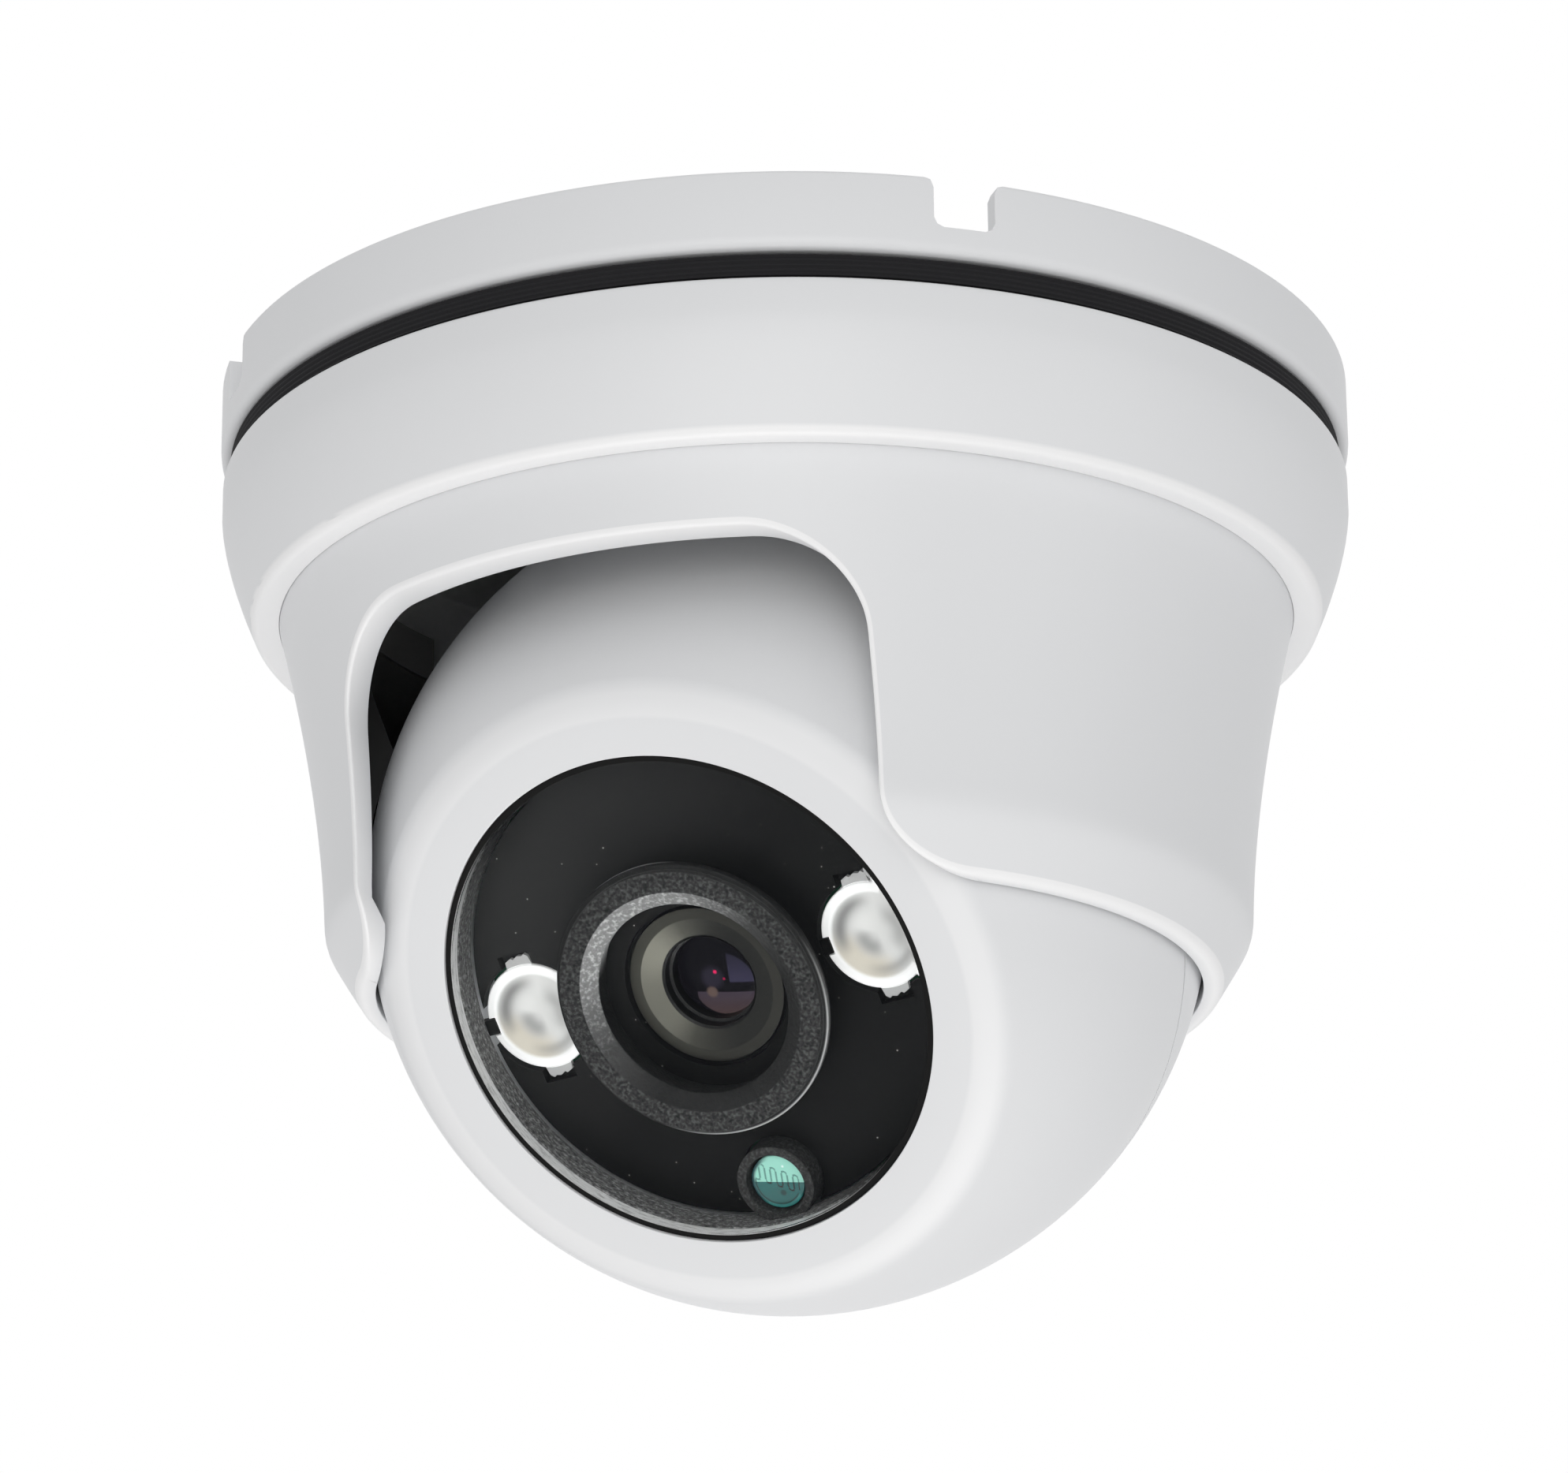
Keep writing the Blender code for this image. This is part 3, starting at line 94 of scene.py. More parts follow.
# %% [markdown]
# ## Light
# The object hangs in a bright, even studio: white all round, with broad lamps that leave soft shades and no hard
# shadow. A white world that is plain to the camera and to reflections, but gentler to matt surfaces, gives the
# white ground without washing out the body. Four broad lamps model the forms, and a pale floor lies below.

# %% Light the scene
scene = bpy.context.scene
scene.view_settings.view_transform = "Standard"
LAMP_SIZE = 0.6


def add(tree, kind, **settings):
    """A new node, with its own properties set."""
    node = tree.nodes.new(kind)
    for name, value in settings.items():
        setattr(node, name, value)
    return node


def seen_level(tree, unseen, seen):
    """One strength to the camera, reflections and glass, and another to matt surfaces."""
    paths = add(tree, "ShaderNodeLightPath")
    either = add(tree, "ShaderNodeMath", operation="MAXIMUM")
    tree.links.new(paths.outputs["Is Camera Ray"], either.inputs[0])
    tree.links.new(paths.outputs["Is Glossy Ray"], either.inputs[1])
    any_of = add(tree, "ShaderNodeMath", operation="MAXIMUM")
    tree.links.new(either.outputs[0], any_of.inputs[0])
    tree.links.new(paths.outputs["Is Transmission Ray"], any_of.inputs[1])
    level = add(tree, "ShaderNodeMapRange")
    level.inputs["To Min"].default_value = unseen
    level.inputs["To Max"].default_value = seen
    tree.links.new(any_of.outputs[0], level.inputs["Value"])
    return level.outputs["Result"]


def light_world(strength):
    """A white world that is gentler to matt surfaces."""
    world = bpy.data.worlds.new("studio")
    world.use_nodes = True
    scene.world = world
    ground = world.node_tree.nodes["Background"]
    ground.inputs["Color"].default_value = (1, 1, 1, 1)
    world.node_tree.links.new(seen_level(world.node_tree, strength, 1), ground.inputs["Strength"])


def lamp(name, place, power, colour=(1, 1, 1)):
    """A broad square lamp that looks at the object."""
    data = bpy.data.lights.new(name, "AREA")
    data.size = LAMP_SIZE
    data.energy = power
    data.color = colour
    item = bpy.data.objects.new(name, data)
    item.location = place
    item.rotation_euler = (target - item.location).to_track_quat("-Z", "Y").to_euler()
    scene.collection.objects.link(item)


light_world(0.51)
lamp("front_lamp", Vector((0.45, -0.80, 0.05)), 1.0)
lamp("low_front_lamp", Vector((0.30, -0.78, -0.28)), 1.43, (1.0, 0.98, 0.945))
lamp("low_lamp", Vector((0.0, 0.0, -0.75)), 2.17, (1.0, 0.985, 0.96))
lamp("right_lamp", Vector((0.9, -0.1, 0.1)), 0.55)

# %% Lay the floor
FLOOR_HEIGHT = -0.95
FLOOR_REACH = 12.0
FLOOR_GLOW = 0.42
floor_mesh = bpy.data.meshes.new("floor")
floor_corners = [(x, y, FLOOR_HEIGHT) for x, y in ((-1, -1), (1, -1), (1, 1), (-1, 1))]
floor_mesh.from_pydata([(x * FLOOR_REACH, y * FLOOR_REACH, z) for x, y, z in floor_corners], [], [(0, 1, 2, 3)])
floor = bpy.data.objects.new("floor", floor_mesh)
scene.collection.objects.link(floor)
floor_finish = bpy.data.materials.new("pale_floor")
floor_finish.use_nodes = True
floor_shader = floor_finish.node_tree.nodes["Principled BSDF"]
floor_shader.inputs["Base Color"].default_value = (0.86, 0.86, 0.87, 1)
floor_shader.inputs["Roughness"].default_value = 0.9
floor_shader.inputs["Emission Color"].default_value = (1, 1, 1, 1)
floor_finish.node_tree.links.new(seen_level(floor_finish.node_tree, 0, FLOOR_GLOW), floor_shader.inputs["Emission Strength"])
floor_mesh.materials.append(floor_finish)
print("floor at", FLOOR_HEIGHT, "m")

# %% [markdown]
# ## Shared effects
# Moulded plastic is never quite even: its skin has a fine grain and its shade drifts a little over the piece. That
# grain is in most finishes here, so it is one node group with its own size and strength in each material. Small
# specks of dust sit on the dark pieces behind the glass, and they are a second group.

# %% Make the grain and dust groups
COLOUR, VALUE = "NodeSocketColor", "NodeSocketFloat"


def new_group(name, inputs, outputs):
    """An empty shader group with named sockets, and its two end nodes."""
    group = bpy.data.node_groups.new(name, "ShaderNodeTree")
    for label, kind in inputs:
        group.interface.new_socket(label, in_out="INPUT", socket_type=kind)
    for label, kind in outputs:
        group.interface.new_socket(label, in_out="OUTPUT", socket_type=kind)
    return group, add(group, "NodeGroupInput"), add(group, "NodeGroupOutput")


def sum_node(tree, operation, first, second):
    """A Math node on two sockets or numbers, and its result."""
    node = add(tree, "ShaderNodeMath", operation=operation)
    for place, value in enumerate((first, second)):
        if isinstance(value, (int, float)):
            node.inputs[place].default_value = value
        else:
            tree.links.new(value, node.inputs[place])
    return node.outputs[0]


def blend_colour(tree, kind, factor, first, second):
    """A Mix node on colours, and its result. The factor and the colours are sockets or plain values."""
    node = add(tree, "ShaderNodeMix", data_type="RGBA", blend_type=kind)
    for label, value in (("Factor_Float", factor), ("A_Color", first), ("B_Color", second)):
        socket = next(s for s in node.inputs if s.identifier == label)
        if isinstance(value, bpy.types.NodeSocket):
            tree.links.new(value, socket)
        else:
            socket.default_value = value
    return next(s for s in node.outputs if s.identifier == "Result_Color")


def make_grain():
    labels = [("Colour", COLOUR), ("Mottle", VALUE), ("Roughness", VALUE), ("Spread", VALUE), ("Grain size", VALUE)]
    group, start, end = new_group("moulded_grain", labels, [("Colour", COLOUR), ("Roughness", VALUE), ("Height", VALUE)])
    coords = add(group, "ShaderNodeTexCoord").outputs["Object"]
    fine = add(group, "ShaderNodeTexNoise")
    fine.inputs["Detail"].default_value = 3
    group.links.new(coords, fine.inputs["Vector"])
    group.links.new(sum_node(group, "DIVIDE", 1 / MM, start.outputs["Grain size"]), fine.inputs["Scale"])
    broad = add(group, "ShaderNodeTexNoise")
    broad.inputs["Scale"].default_value = 60
    group.links.new(coords, broad.inputs["Vector"])
    drift = sum_node(group, "MULTIPLY", broad.outputs["Fac"], start.outputs["Mottle"])
    shade = sum_node(group, "SUBTRACT", 1.0, drift)
    tinted = blend_colour(group, "MULTIPLY", 1.0, start.outputs["Colour"], shade)
    centred = sum_node(group, "SUBTRACT", fine.outputs["Fac"], 0.5)
    change = sum_node(group, "MULTIPLY", centred, start.outputs["Spread"])
    group.links.new(tinted, end.inputs["Colour"])
    group.links.new(sum_node(group, "ADD", start.outputs["Roughness"], change), end.inputs["Roughness"])
    group.links.new(fine.outputs["Fac"], end.inputs["Height"])
    return group


def make_dust():
    labels = [("Colour", COLOUR), ("Dust", COLOUR), ("Amount", VALUE), ("Spacing", VALUE)]
    group, start, end = new_group("settled_dust", labels, [("Colour", COLOUR), ("Mask", VALUE)])
    cells = add(group, "ShaderNodeTexVoronoi")
    group.links.new(add(group, "ShaderNodeTexCoord").outputs["Object"], cells.inputs["Vector"])
    group.links.new(sum_node(group, "DIVIDE", 1 / MM, start.outputs["Spacing"]), cells.inputs["Scale"])
    chance = add(group, "ShaderNodeSeparateColor")
    group.links.new(cells.outputs["Color"], chance.inputs["Color"])
    spare = sum_node(group, "SUBTRACT", chance.outputs["Red"], sum_node(group, "SUBTRACT", 1.0, start.outputs["Amount"]))
    mask = sum_node(group, "LESS_THAN", cells.outputs["Distance"], spare)
    group.links.new(blend_colour(group, "MIX", mask, start.outputs["Colour"], start.outputs["Dust"]), end.inputs["Colour"])
    group.links.new(mask, end.inputs["Mask"])
    return group


GRAIN, DUST = make_grain(), make_dust()
print("groups:", GRAIN.name, DUST.name)

# %% [markdown]
# ## Finishes
# Each material of the record gets one finish, made from the same start: a Principled shader whose colour and
# roughness pass through the grain, and whose skin is raised by it. What is the same all over a piece, such as
# how clear the glass is, is set on the shader itself.

# %% Make the finishes
FINISHES = {}


def group_node(tree, group, values):
    node = add(tree, "ShaderNodeGroup", node_tree=group)
    for label, value in values.items():
        node.inputs[label].default_value = value
    return node


def finish(name, colour, roughness, grain, depth, mottle=0.05, spread=0.1, dust=0.0, spacing=1.0, **sockets):
    """A moulded or turned finish: grain size and depth in millimetres."""
    material = bpy.data.materials.new(name)
    material.use_nodes = True
    tree = material.node_tree
    shader = tree.nodes["Principled BSDF"]
    values = {"Colour": (*colour, 1), "Mottle": mottle, "Roughness": roughness, "Spread": spread, "Grain size": grain}
    skin = group_node(tree, GRAIN, values)
    shown = skin.outputs["Colour"]
    if dust:
        specks = group_node(tree, DUST, {"Dust": (0.45, 0.44, 0.42, 1), "Amount": dust, "Spacing": spacing})
        tree.links.new(shown, specks.inputs["Colour"])
        shown = specks.outputs["Colour"]
    tree.links.new(shown, shader.inputs["Base Color"])
    tree.links.new(skin.outputs["Roughness"], shader.inputs["Roughness"])
    raised = add(tree, "ShaderNodeBump")
    raised.inputs["Distance"].default_value = depth * MM
    tree.links.new(skin.outputs["Height"], raised.inputs["Height"])
    tree.links.new(raised.outputs["Normal"], shader.inputs["Normal"])
    for label, value in sockets.items():
        shader.inputs[label.replace("_", " ")].default_value = value
    FINISHES[name] = material
    return material


white_shell = finish("white_shell", (0.80, 0.81, 0.825), 0.42, 0.35, 0.006, mottle=0.02, spread=0.06)


def paint_edge_highlights(material, colour):
    """Painted highlight: the paint is paler where a piece marks its edges with the edge attribute."""
    tree = material.node_tree
    shader = tree.nodes["Principled BSDF"]
    marked = add(tree, "ShaderNodeAttribute", attribute_name="painted_highlight")
    paler = add(tree, "ShaderNodeMix", data_type="RGBA")
    tree.links.new(marked.outputs["Fac"], paler.inputs["Factor"])
    tree.links.new(shader.inputs["Base Color"].links[0].from_socket, paler.inputs["A"])
    paler.inputs["B"].default_value = colour
    tree.links.new(paler.outputs["Result"], shader.inputs["Base Color"])


def mark_highlights(mesh, amounts):
    """Write how much painted highlight each point of a mesh gets, from 0 to 1."""
    mesh.attributes.new("painted_highlight", "FLOAT", "POINT").data.foreach_set("value", amounts)


# Painted highlight: the edges that a piece marks are painted nearly pure white.
paint_edge_highlights(white_shell, (0.97, 0.97, 0.975, 1))
black_rubber = finish("black_rubber", (0.018, 0.018, 0.02), 0.75, 0.25, 0.02, mottle=0.3, Specular_IOR_Level=0.2)
black_plastic = finish("black_plastic", (0.014, 0.014, 0.016), 0.42, 0.4, 0.01, mottle=0.2)
lens_metal = finish("lens_metal", (0.16, 0.158, 0.125), 0.36, 0.12, 0.003, mottle=0.1, Metallic=0.6)
circuit_board = finish("circuit_board", (0.02, 0.17, 0.08), 0.38, 0.5, 0.01, mottle=0.2)
chip = finish("chip", (0.03, 0.03, 0.035), 0.5, 0.12, 0.004, mottle=0.1)
cream_plastic = finish("cream_plastic", (0.75, 0.72, 0.62), 0.45, 0.3, 0.005)
brass = finish("brass", (0.7, 0.53, 0.25), 0.3, 0.15, 0.004, mottle=0.15, Metallic=1.0)
steel = finish("steel", (0.62, 0.62, 0.6), 0.32, 0.15, 0.004, mottle=0.12, Metallic=1.0)
copper_wire = finish("copper_wire", (0.72, 0.36, 0.18), 0.34, 0.15, 0.01, mottle=0.2, Metallic=1.0)
print("finishes:", sorted(FINISHES))

# %% [markdown]
# ## Turned pieces
# Most of this object is turned or moulded round an axis: rings, shells, seals, lenses. Each is one profile swept
# round, so one Geometry Nodes tree makes them all. It reads the profile's points, wraps a grid round the axis with
# them, closes the seam, and gives the result its finish. Profiles are written as corners with a rounding each,
# because real edges are never sharp and it is their rounding that catches the light.

# %% Make the turning tree


def turning_tree():
    tree = bpy.data.node_groups.new("turned_profile", "GeometryNodeTree")
    sockets = (("Profile", "NodeSocketGeometry"), ("Segments", "NodeSocketInt"), ("Finish", "NodeSocketMaterial"))
    for label, kind in sockets:
        tree.interface.new_socket(label, in_out="INPUT", socket_type=kind)
    tree.interface.new_socket("Geometry", in_out="OUTPUT", socket_type="NodeSocketGeometry")
    start, end = add(tree, "NodeGroupInput"), add(tree, "NodeGroupOutput")
    count = add(tree, "GeometryNodeAttributeDomainSize")
    tree.links.new(start.outputs["Profile"], count.inputs["Geometry"])
    points = count.outputs["Point Count"]
    grid = add(tree, "GeometryNodeMeshGrid")
    tree.links.new(sum_node(tree, "ADD", start.outputs["Segments"], 1), grid.inputs["Vertices X"])
    tree.links.new(points, grid.inputs["Vertices Y"])
    index = add(tree, "GeometryNodeInputIndex").outputs["Index"]
    ring = sum_node(tree, "FLOOR", sum_node(tree, "DIVIDE", sum_node(tree, "ADD", index, 0.5), points), 0)
    along = sum_node(tree, "SUBTRACT", index, sum_node(tree, "MULTIPLY", ring, points))
    corner = add(tree, "GeometryNodeSampleIndex", data_type="FLOAT_VECTOR", domain="POINT")
    tree.links.new(start.outputs["Profile"], corner.inputs["Geometry"])
    tree.links.new(add(tree, "GeometryNodeInputPosition").outputs["Position"], corner.inputs["Value"])
    tree.links.new(along, corner.inputs["Index"])
    turn = sum_node(tree, "DIVIDE", sum_node(tree, "MULTIPLY", ring, 2 * math.pi), start.outputs["Segments"])
    swung = add(tree, "ShaderNodeVectorRotate", rotation_type="Z_AXIS")
    tree.links.new(corner.outputs["Value"], swung.inputs["Vector"])
    tree.links.new(turn, swung.inputs["Angle"])
    wrapped = add(tree, "GeometryNodeSetPosition")
    tree.links.new(grid.outputs["Mesh"], wrapped.inputs["Geometry"])
    tree.links.new(swung.outputs["Vector"], wrapped.inputs["Position"])
    closed = add(tree, "GeometryNodeMergeByDistance")
    closed.inputs["Distance"].default_value = 0.0005 * MM
    real = add(tree, "GeometryNodeRealizeInstances")
    dressed = add(tree, "GeometryNodeSetMaterial")
    tree.links.new(start.outputs["Finish"], dressed.inputs["Material"])
    ends = (wrapped, closed, real, dressed)
    for first, second in zip(ends, ends[1:]):
        tree.links.new(first.outputs[0], second.inputs["Geometry"])
    tree.links.new(dressed.outputs["Geometry"], end.inputs["Geometry"])
    return tree


TURNING = turning_tree()
TURNING_INPUTS = {item.name: item.identifier for item in TURNING.interface.items_tree if item.in_out == "INPUT"}
print("turning inputs:", sorted(TURNING_INPUTS))

# %% Helpers for turned pieces
SEGMENTS = 192
SMOOTH_ANGLE = math.radians(32)


def new_object(name, mesh):
    item = bpy.data.objects.new(name, mesh)
    scene.collection.objects.link(item)
    return item


def settle(item):
    """Replaces an object's mesh by its evaluated one, with its doubles merged and its faces outwards."""
    evaluated = item.evaluated_get(bpy.context.evaluated_depsgraph_get())
    mesh = bpy.data.meshes.new_from_object(evaluated)
    item.modifiers.clear()
    item.data = mesh
    shape = bmesh.new()
    shape.from_mesh(mesh)
    bmesh.ops.remove_doubles(shape, verts=shape.verts, dist=0.0005 * MM)
    bmesh.ops.dissolve_degenerate(shape, edges=shape.edges, dist=0.0002 * MM)
    bmesh.ops.recalc_face_normals(shape, faces=shape.faces)
    for face in shape.faces:
        face.smooth = True
    shape.to_mesh(mesh)
    shape.free()
    mesh.set_sharp_from_angle(angle=SMOOTH_ANGLE)
    return item


def turned(name, profile, material, segments=SEGMENTS):
    """A profile of (radius, height) points in millimetres, swept round Z."""
    mesh = bpy.data.meshes.new(name)
    mesh.from_pydata([(radius * MM, 0, height * MM) for radius, height in profile], [], [])
    item = new_object(name, mesh)
    sweep = item.modifiers.new("turning", "NODES")
    sweep.node_group = TURNING
    sweep[TURNING_INPUTS["Segments"]] = segments
    sweep[TURNING_INPUTS["Finish"]] = material
    return settle(item)


def rounded(corners, steps=6):
    """A closed profile from corners of (radius, height) or (radius, height, rounding)."""
    outline = []
    for number, (x, z, *size) in enumerate(corners):
        here = np.array((x, z))
        if not size:
            outline.append((x, z))
            continue
        before = np.array(corners[number - 1][:2]) - here
        after = np.array(corners[(number + 1) % len(corners)][:2]) - here
        reach = min(size[0], 0.95 * np.hypot(*before), 0.95 * np.hypot(*after))
        first = here + before / np.hypot(*before) * reach
        last = here + after / np.hypot(*after) * reach
        for step in range(steps + 1):
            share = step / steps
            point = (1 - share) ** 2 * first + 2 * share * (1 - share) * here + share**2 * last
            outline.append((point[0], point[1]))
    return outline + [outline[0]]


def sphere_points(radius, low, high, steps):
    """Points on a sphere round the ball's centre, between two heights."""
    first, last = math.asin(low / radius), math.asin(high / radius)
    angles = [first + (last - first) * step / steps for step in range(steps + 1)]
    return [(radius * math.cos(angle), radius * math.sin(angle)) for angle in angles]


# %% Helpers for cutting, joining and handing over


def rod(radius, low, high, x=0.0, y=0.0, sides=48):
    """A round tool or boss."""
    profile = [(0, low), (radius, low), (radius, high), (0, high), (0, low)]
    item = turned("rod", profile, None, sides)
    item.data.transform(Matrix.Translation((x * MM, y * MM, 0)))
    return item


def outline_solid(outline, low, high):
    """A flat outline in X and Y, made solid between two heights."""
    shape = bmesh.new()
    layers = [[shape.verts.new((x * MM, y * MM, z * MM)) for x, y in outline] for z in (low, high)]
    for layer in layers:
        shape.faces.new(layer)
    for number in range(len(outline)):
        lower, upper = layers
        shape.faces.new((lower[number - 1], lower[number], upper[number], upper[number - 1]))
    bmesh.ops.recalc_face_normals(shape, faces=shape.faces)
    mesh = bpy.data.meshes.new("outline")
    shape.to_mesh(mesh)
    shape.free()
    return new_object("outline", mesh)


def combine(item, operation, others):
    """Cuts the others from an object, or joins them to it, and removes them. Its finish covers the new faces too."""
    worn = [material for material in item.data.materials if material]
    for other in others:
        step = item.modifiers.new("step", "BOOLEAN")
        step.operation = operation
        step.solver = "EXACT"
        step.object = other
    settle(item)
    item.data.materials.clear()
    for material in worn[:1]:
        item.data.materials.append(material)
    item.data.polygons.foreach_set("material_index", [0] * len(item.data.polygons))
    for other in others:
        bpy.data.objects.remove(other)
    return item


def hand_over(item, body, slot, *nodes, place=None):
    """Lays a piece into place and lets it stand for its solids."""
    if place is not None:
        item.data.transform(place)
    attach(item, body)
    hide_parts(*nodes)
    print(item.name, "has", len(item.data.polygons), "faces")
    return item


def ring_places(count, circle, start):
    """Places at equal steps round a circle, from an angle in degrees."""
    angles = [math.radians(start + 360 * step / count) for step in range(count)]
    return [(circle * math.cos(angle), circle * math.sin(angle)) for angle in angles]


# %% [markdown]
# ## Mounting base
# The base is a shallow tray against the ceiling: a rim, a plate with three screw holes and a cable hole, and a
# spigot with bayonet lugs that the trim ring twists on to. The rim has four small notches for a cable that leaves
# sideways. It is turned, then notched and drilled, as a mould maker would cut it.

# %% Turn and cut the base
BASE_RADIUS = 47.38
BASE_HEIGHT = 6.45
PLATE_TOP = -4.65
RIM_BORE = BASE_RADIUS - 1.7
SPIGOT_RADIUS, SPIGOT_BORE, SPIGOT_BOTTOM = 42.9, 41.1, -15.0
CABLE_HOLE = 8.0


def rim_notch(angle):
    """A U-shaped cutter that stands in the rim at one angle."""
    half, depth, flare = 2.5, 4.2, 0.9
    right_side = [(half + flare, 1.0), (half + flare, 0.0), (half + 0.25, -0.25), (half, -flare), (half, 0.8 - depth)]
    right_side += [(half - 0.25, 0.25 - depth), (half - 0.8, -depth)]
    outline = right_side + [(-x, y) for x, y in reversed(right_side)]
    cutter = outline_solid(outline, RIM_BORE - 1.5, BASE_RADIUS + 1.5)
    cutter.data.transform(Matrix.Rotation(math.radians(90), 4, "X"))
    cutter.data.transform(Matrix.Rotation(math.radians(angle), 4, "Z"))
    return cutter


def lug(bore, radius, low, high, start, sweep=24.0):
    """One bayonet lug: a short arc of a ring."""
    angles = [math.radians(start + sweep * step / 12) for step in range(13)]
    outline = [(radius * math.cos(a), radius * math.sin(a)) for a in angles]
    outline += [(bore * math.cos(a), bore * math.sin(a)) for a in reversed(angles)]
    return outline_solid(outline, low, high)


corners = [(BASE_RADIUS, 0, 0.35), (BASE_RADIUS, -BASE_HEIGHT, 1.0), (SPIGOT_RADIUS, -BASE_HEIGHT)]
corners += [(SPIGOT_RADIUS, SPIGOT_BOTTOM, 0.3), (SPIGOT_BORE, SPIGOT_BOTTOM, 0.3), (SPIGOT_BORE, -BASE_HEIGHT, 0.3)]
corners += [(CABLE_HOLE, -BASE_HEIGHT, 0.2), (CABLE_HOLE, PLATE_TOP, 0.2), (RIM_BORE, PLATE_TOP, 0.4), (RIM_BORE, 0, 0.35)]
base = turned("mounting_base_shell", rounded(corners), white_shell)
combine(base, "UNION", [lug(42.0, 44.2, -14.7, -12.05, 20 + 120 * step) for step in range(3)])
screw_holes = [rod(2.3, -BASE_HEIGHT - 1, PLATE_TOP + 1, x, y) for x, y in ring_places(3, 30.0, 90)]
combine(base, "DIFFERENCE", [rim_notch(44.6 + 90 * step) for step in range(4)] + screw_holes)
hand_over(base, "base", "white_shell", "mounting_base")

# %% [markdown]
# ## Gasket
# A black rubber ring fills the joint between the base and the trim ring. Its edge shows as a dark line with fine
# ribs that run round it. The ribs follow a rule, so they are waves in the profile and the turning does the rest.

# %% Turn the gasket
GASKET_TOP, GASKET_BOTTOM = -6.75, -8.5
GASKET_RADIUS, GASKET_BORE = 46.6, 43.2
RIBS, RIB_DEPTH, RIB_STEPS = 4, 0.14, 40


def ribbed_edge(step):
    share = step / RIB_STEPS
    wave = 0.5 - 0.5 * math.cos(2 * math.pi * RIBS * share)
    return (GASKET_RADIUS - RIB_DEPTH * wave, GASKET_TOP + (GASKET_BOTTOM - GASKET_TOP) * share)


edge = [ribbed_edge(step) for step in range(RIB_STEPS + 1)]
profile = [(GASKET_BORE, GASKET_TOP), *edge, (GASKET_BORE, GASKET_BOTTOM), (GASKET_BORE, GASKET_TOP)]
gasket = turned("base_gasket_ring", profile, black_rubber)
hand_over(gasket, "base", "black_rubber", "base_gasket")

# %% [markdown]
# ## Trim ring
# The ring twists on to the base and hides its screws. Its side is straight at the top and then draws in with a
# slow curve to a softly rounded foot. That foot and the small flat inside it catch a thin bright line, which is a
# painted highlight: the white is painted paler there.

# %% Turn the trim ring
TRIM_RADIUS = 47.16
TRIM_TOP, TRIM_BOTTOM, FOOT_BOTTOM = -8.8, -20.67, -20.87
TRIM_DRUM, TRIM_TAPER, TRIM_CURVE, TRIM_EDGE = 2.85, 2.56, 1.49, 0.55
TRIM_BORE, LOWER_BORE, MOUTH_RADIUS = 44.5, 43.84, 42.28
LEDGE_TOP, FLANGE_TOP = -18.77, -16.8
CURVE_STEPS = 28


def trim_side():
    """The ring's outer side below the drum."""
    start = TRIM_TOP - TRIM_DRUM
    shares = [step / CURVE_STEPS for step in range(CURVE_STEPS + 1)]
    length = FOOT_BOTTOM + TRIM_EDGE - start
    return [(TRIM_RADIUS - TRIM_TAPER * s**TRIM_CURVE, start + length * s) for s in shares]


corners = [(TRIM_RADIUS, TRIM_TOP, 0.45), *trim_side(), (TRIM_RADIUS - TRIM_TAPER - 0.25, FOOT_BOTTOM, TRIM_EDGE)]
corners += [(MOUTH_RADIUS, TRIM_BOTTOM, 0.02), (MOUTH_RADIUS, LEDGE_TOP), (LOWER_BORE, LEDGE_TOP)]
corners += [(LOWER_BORE, FLANGE_TOP), (TRIM_BORE, SPIGOT_BOTTOM), (TRIM_BORE, TRIM_TOP, 0.3)]
trim = turned("trim_ring_shell", rounded(corners), white_shell)
combine(trim, "UNION", [lug(43.2, 45.8, -11.75, -9.1, 20 + 120 * step) for step in range(3)])
foot_top = (FOOT_BOTTOM + TRIM_EDGE) * MM
# Painted highlight: the underside of the foot is painted paler.
foot_highlight = [point.co.z < foot_top and point.co.xy.length > MOUTH_RADIUS * MM - 1e-5 for point in trim.data.vertices]
mark_highlights(trim.data, [0.75 * inside for inside in foot_highlight])
hand_over(trim, "trim", "white_shell", "trim_ring")

# %% [markdown]
# ## Collar
# The collar is a flared sleeve with a wide notch cut straight through its front for the ball to look out of. Its
# edges are generously rounded, which a bevel on a cut mesh does badly on a curved wall. So it is laid out as a
# grid instead: the rounded edge of the notch and lip is one closed line, and rows of points run from the flange
# inside, round that edge, and back up the outside. Every point lies on the true surface.

# %% Describe the collar's surfaces
NECK, WAIST, COLLAR_CURVE = 42.24, 38.04, 1.65
LIP_TOP, LIP_BOTTOM = -47.84, -52.49
LIP_INNER, LIP_WALL, COLLAR_WALL, NECK_WALL = 33.76, 1.4, 1.9, 2.9
FLANGE_RADIUS, FLANGE_BOTTOM = 43.54, -18.47
NOTCH_HALF, NOTCH_TOP, NOTCH_CORNER, NOTCH_FLARE = 23.2, -26.69, 8.0, 4.0
OUTER_ROUND, INNER_ROUND = 0.5, 0.15
UNROLL = 38.0


def outer_radius(height):
    """The sleeve narrows to its waist and then turns in, over a soft edge, to the lip."""
    share = np.clip((height - LIP_TOP) / (TRIM_BOTTOM - LIP_TOP), 0, 1)
    sleeve = WAIST + (NECK - WAIST) * share**COLLAR_CURVE
    foot = LIP_INNER + LIP_WALL
    cone = foot + (WAIST - foot) * (height - LIP_BOTTOM) / (LIP_TOP - LIP_BOTTOM)
    softness = 0.22
    return -softness * np.log(np.exp(-sleeve / softness) + np.exp(-cone / softness))


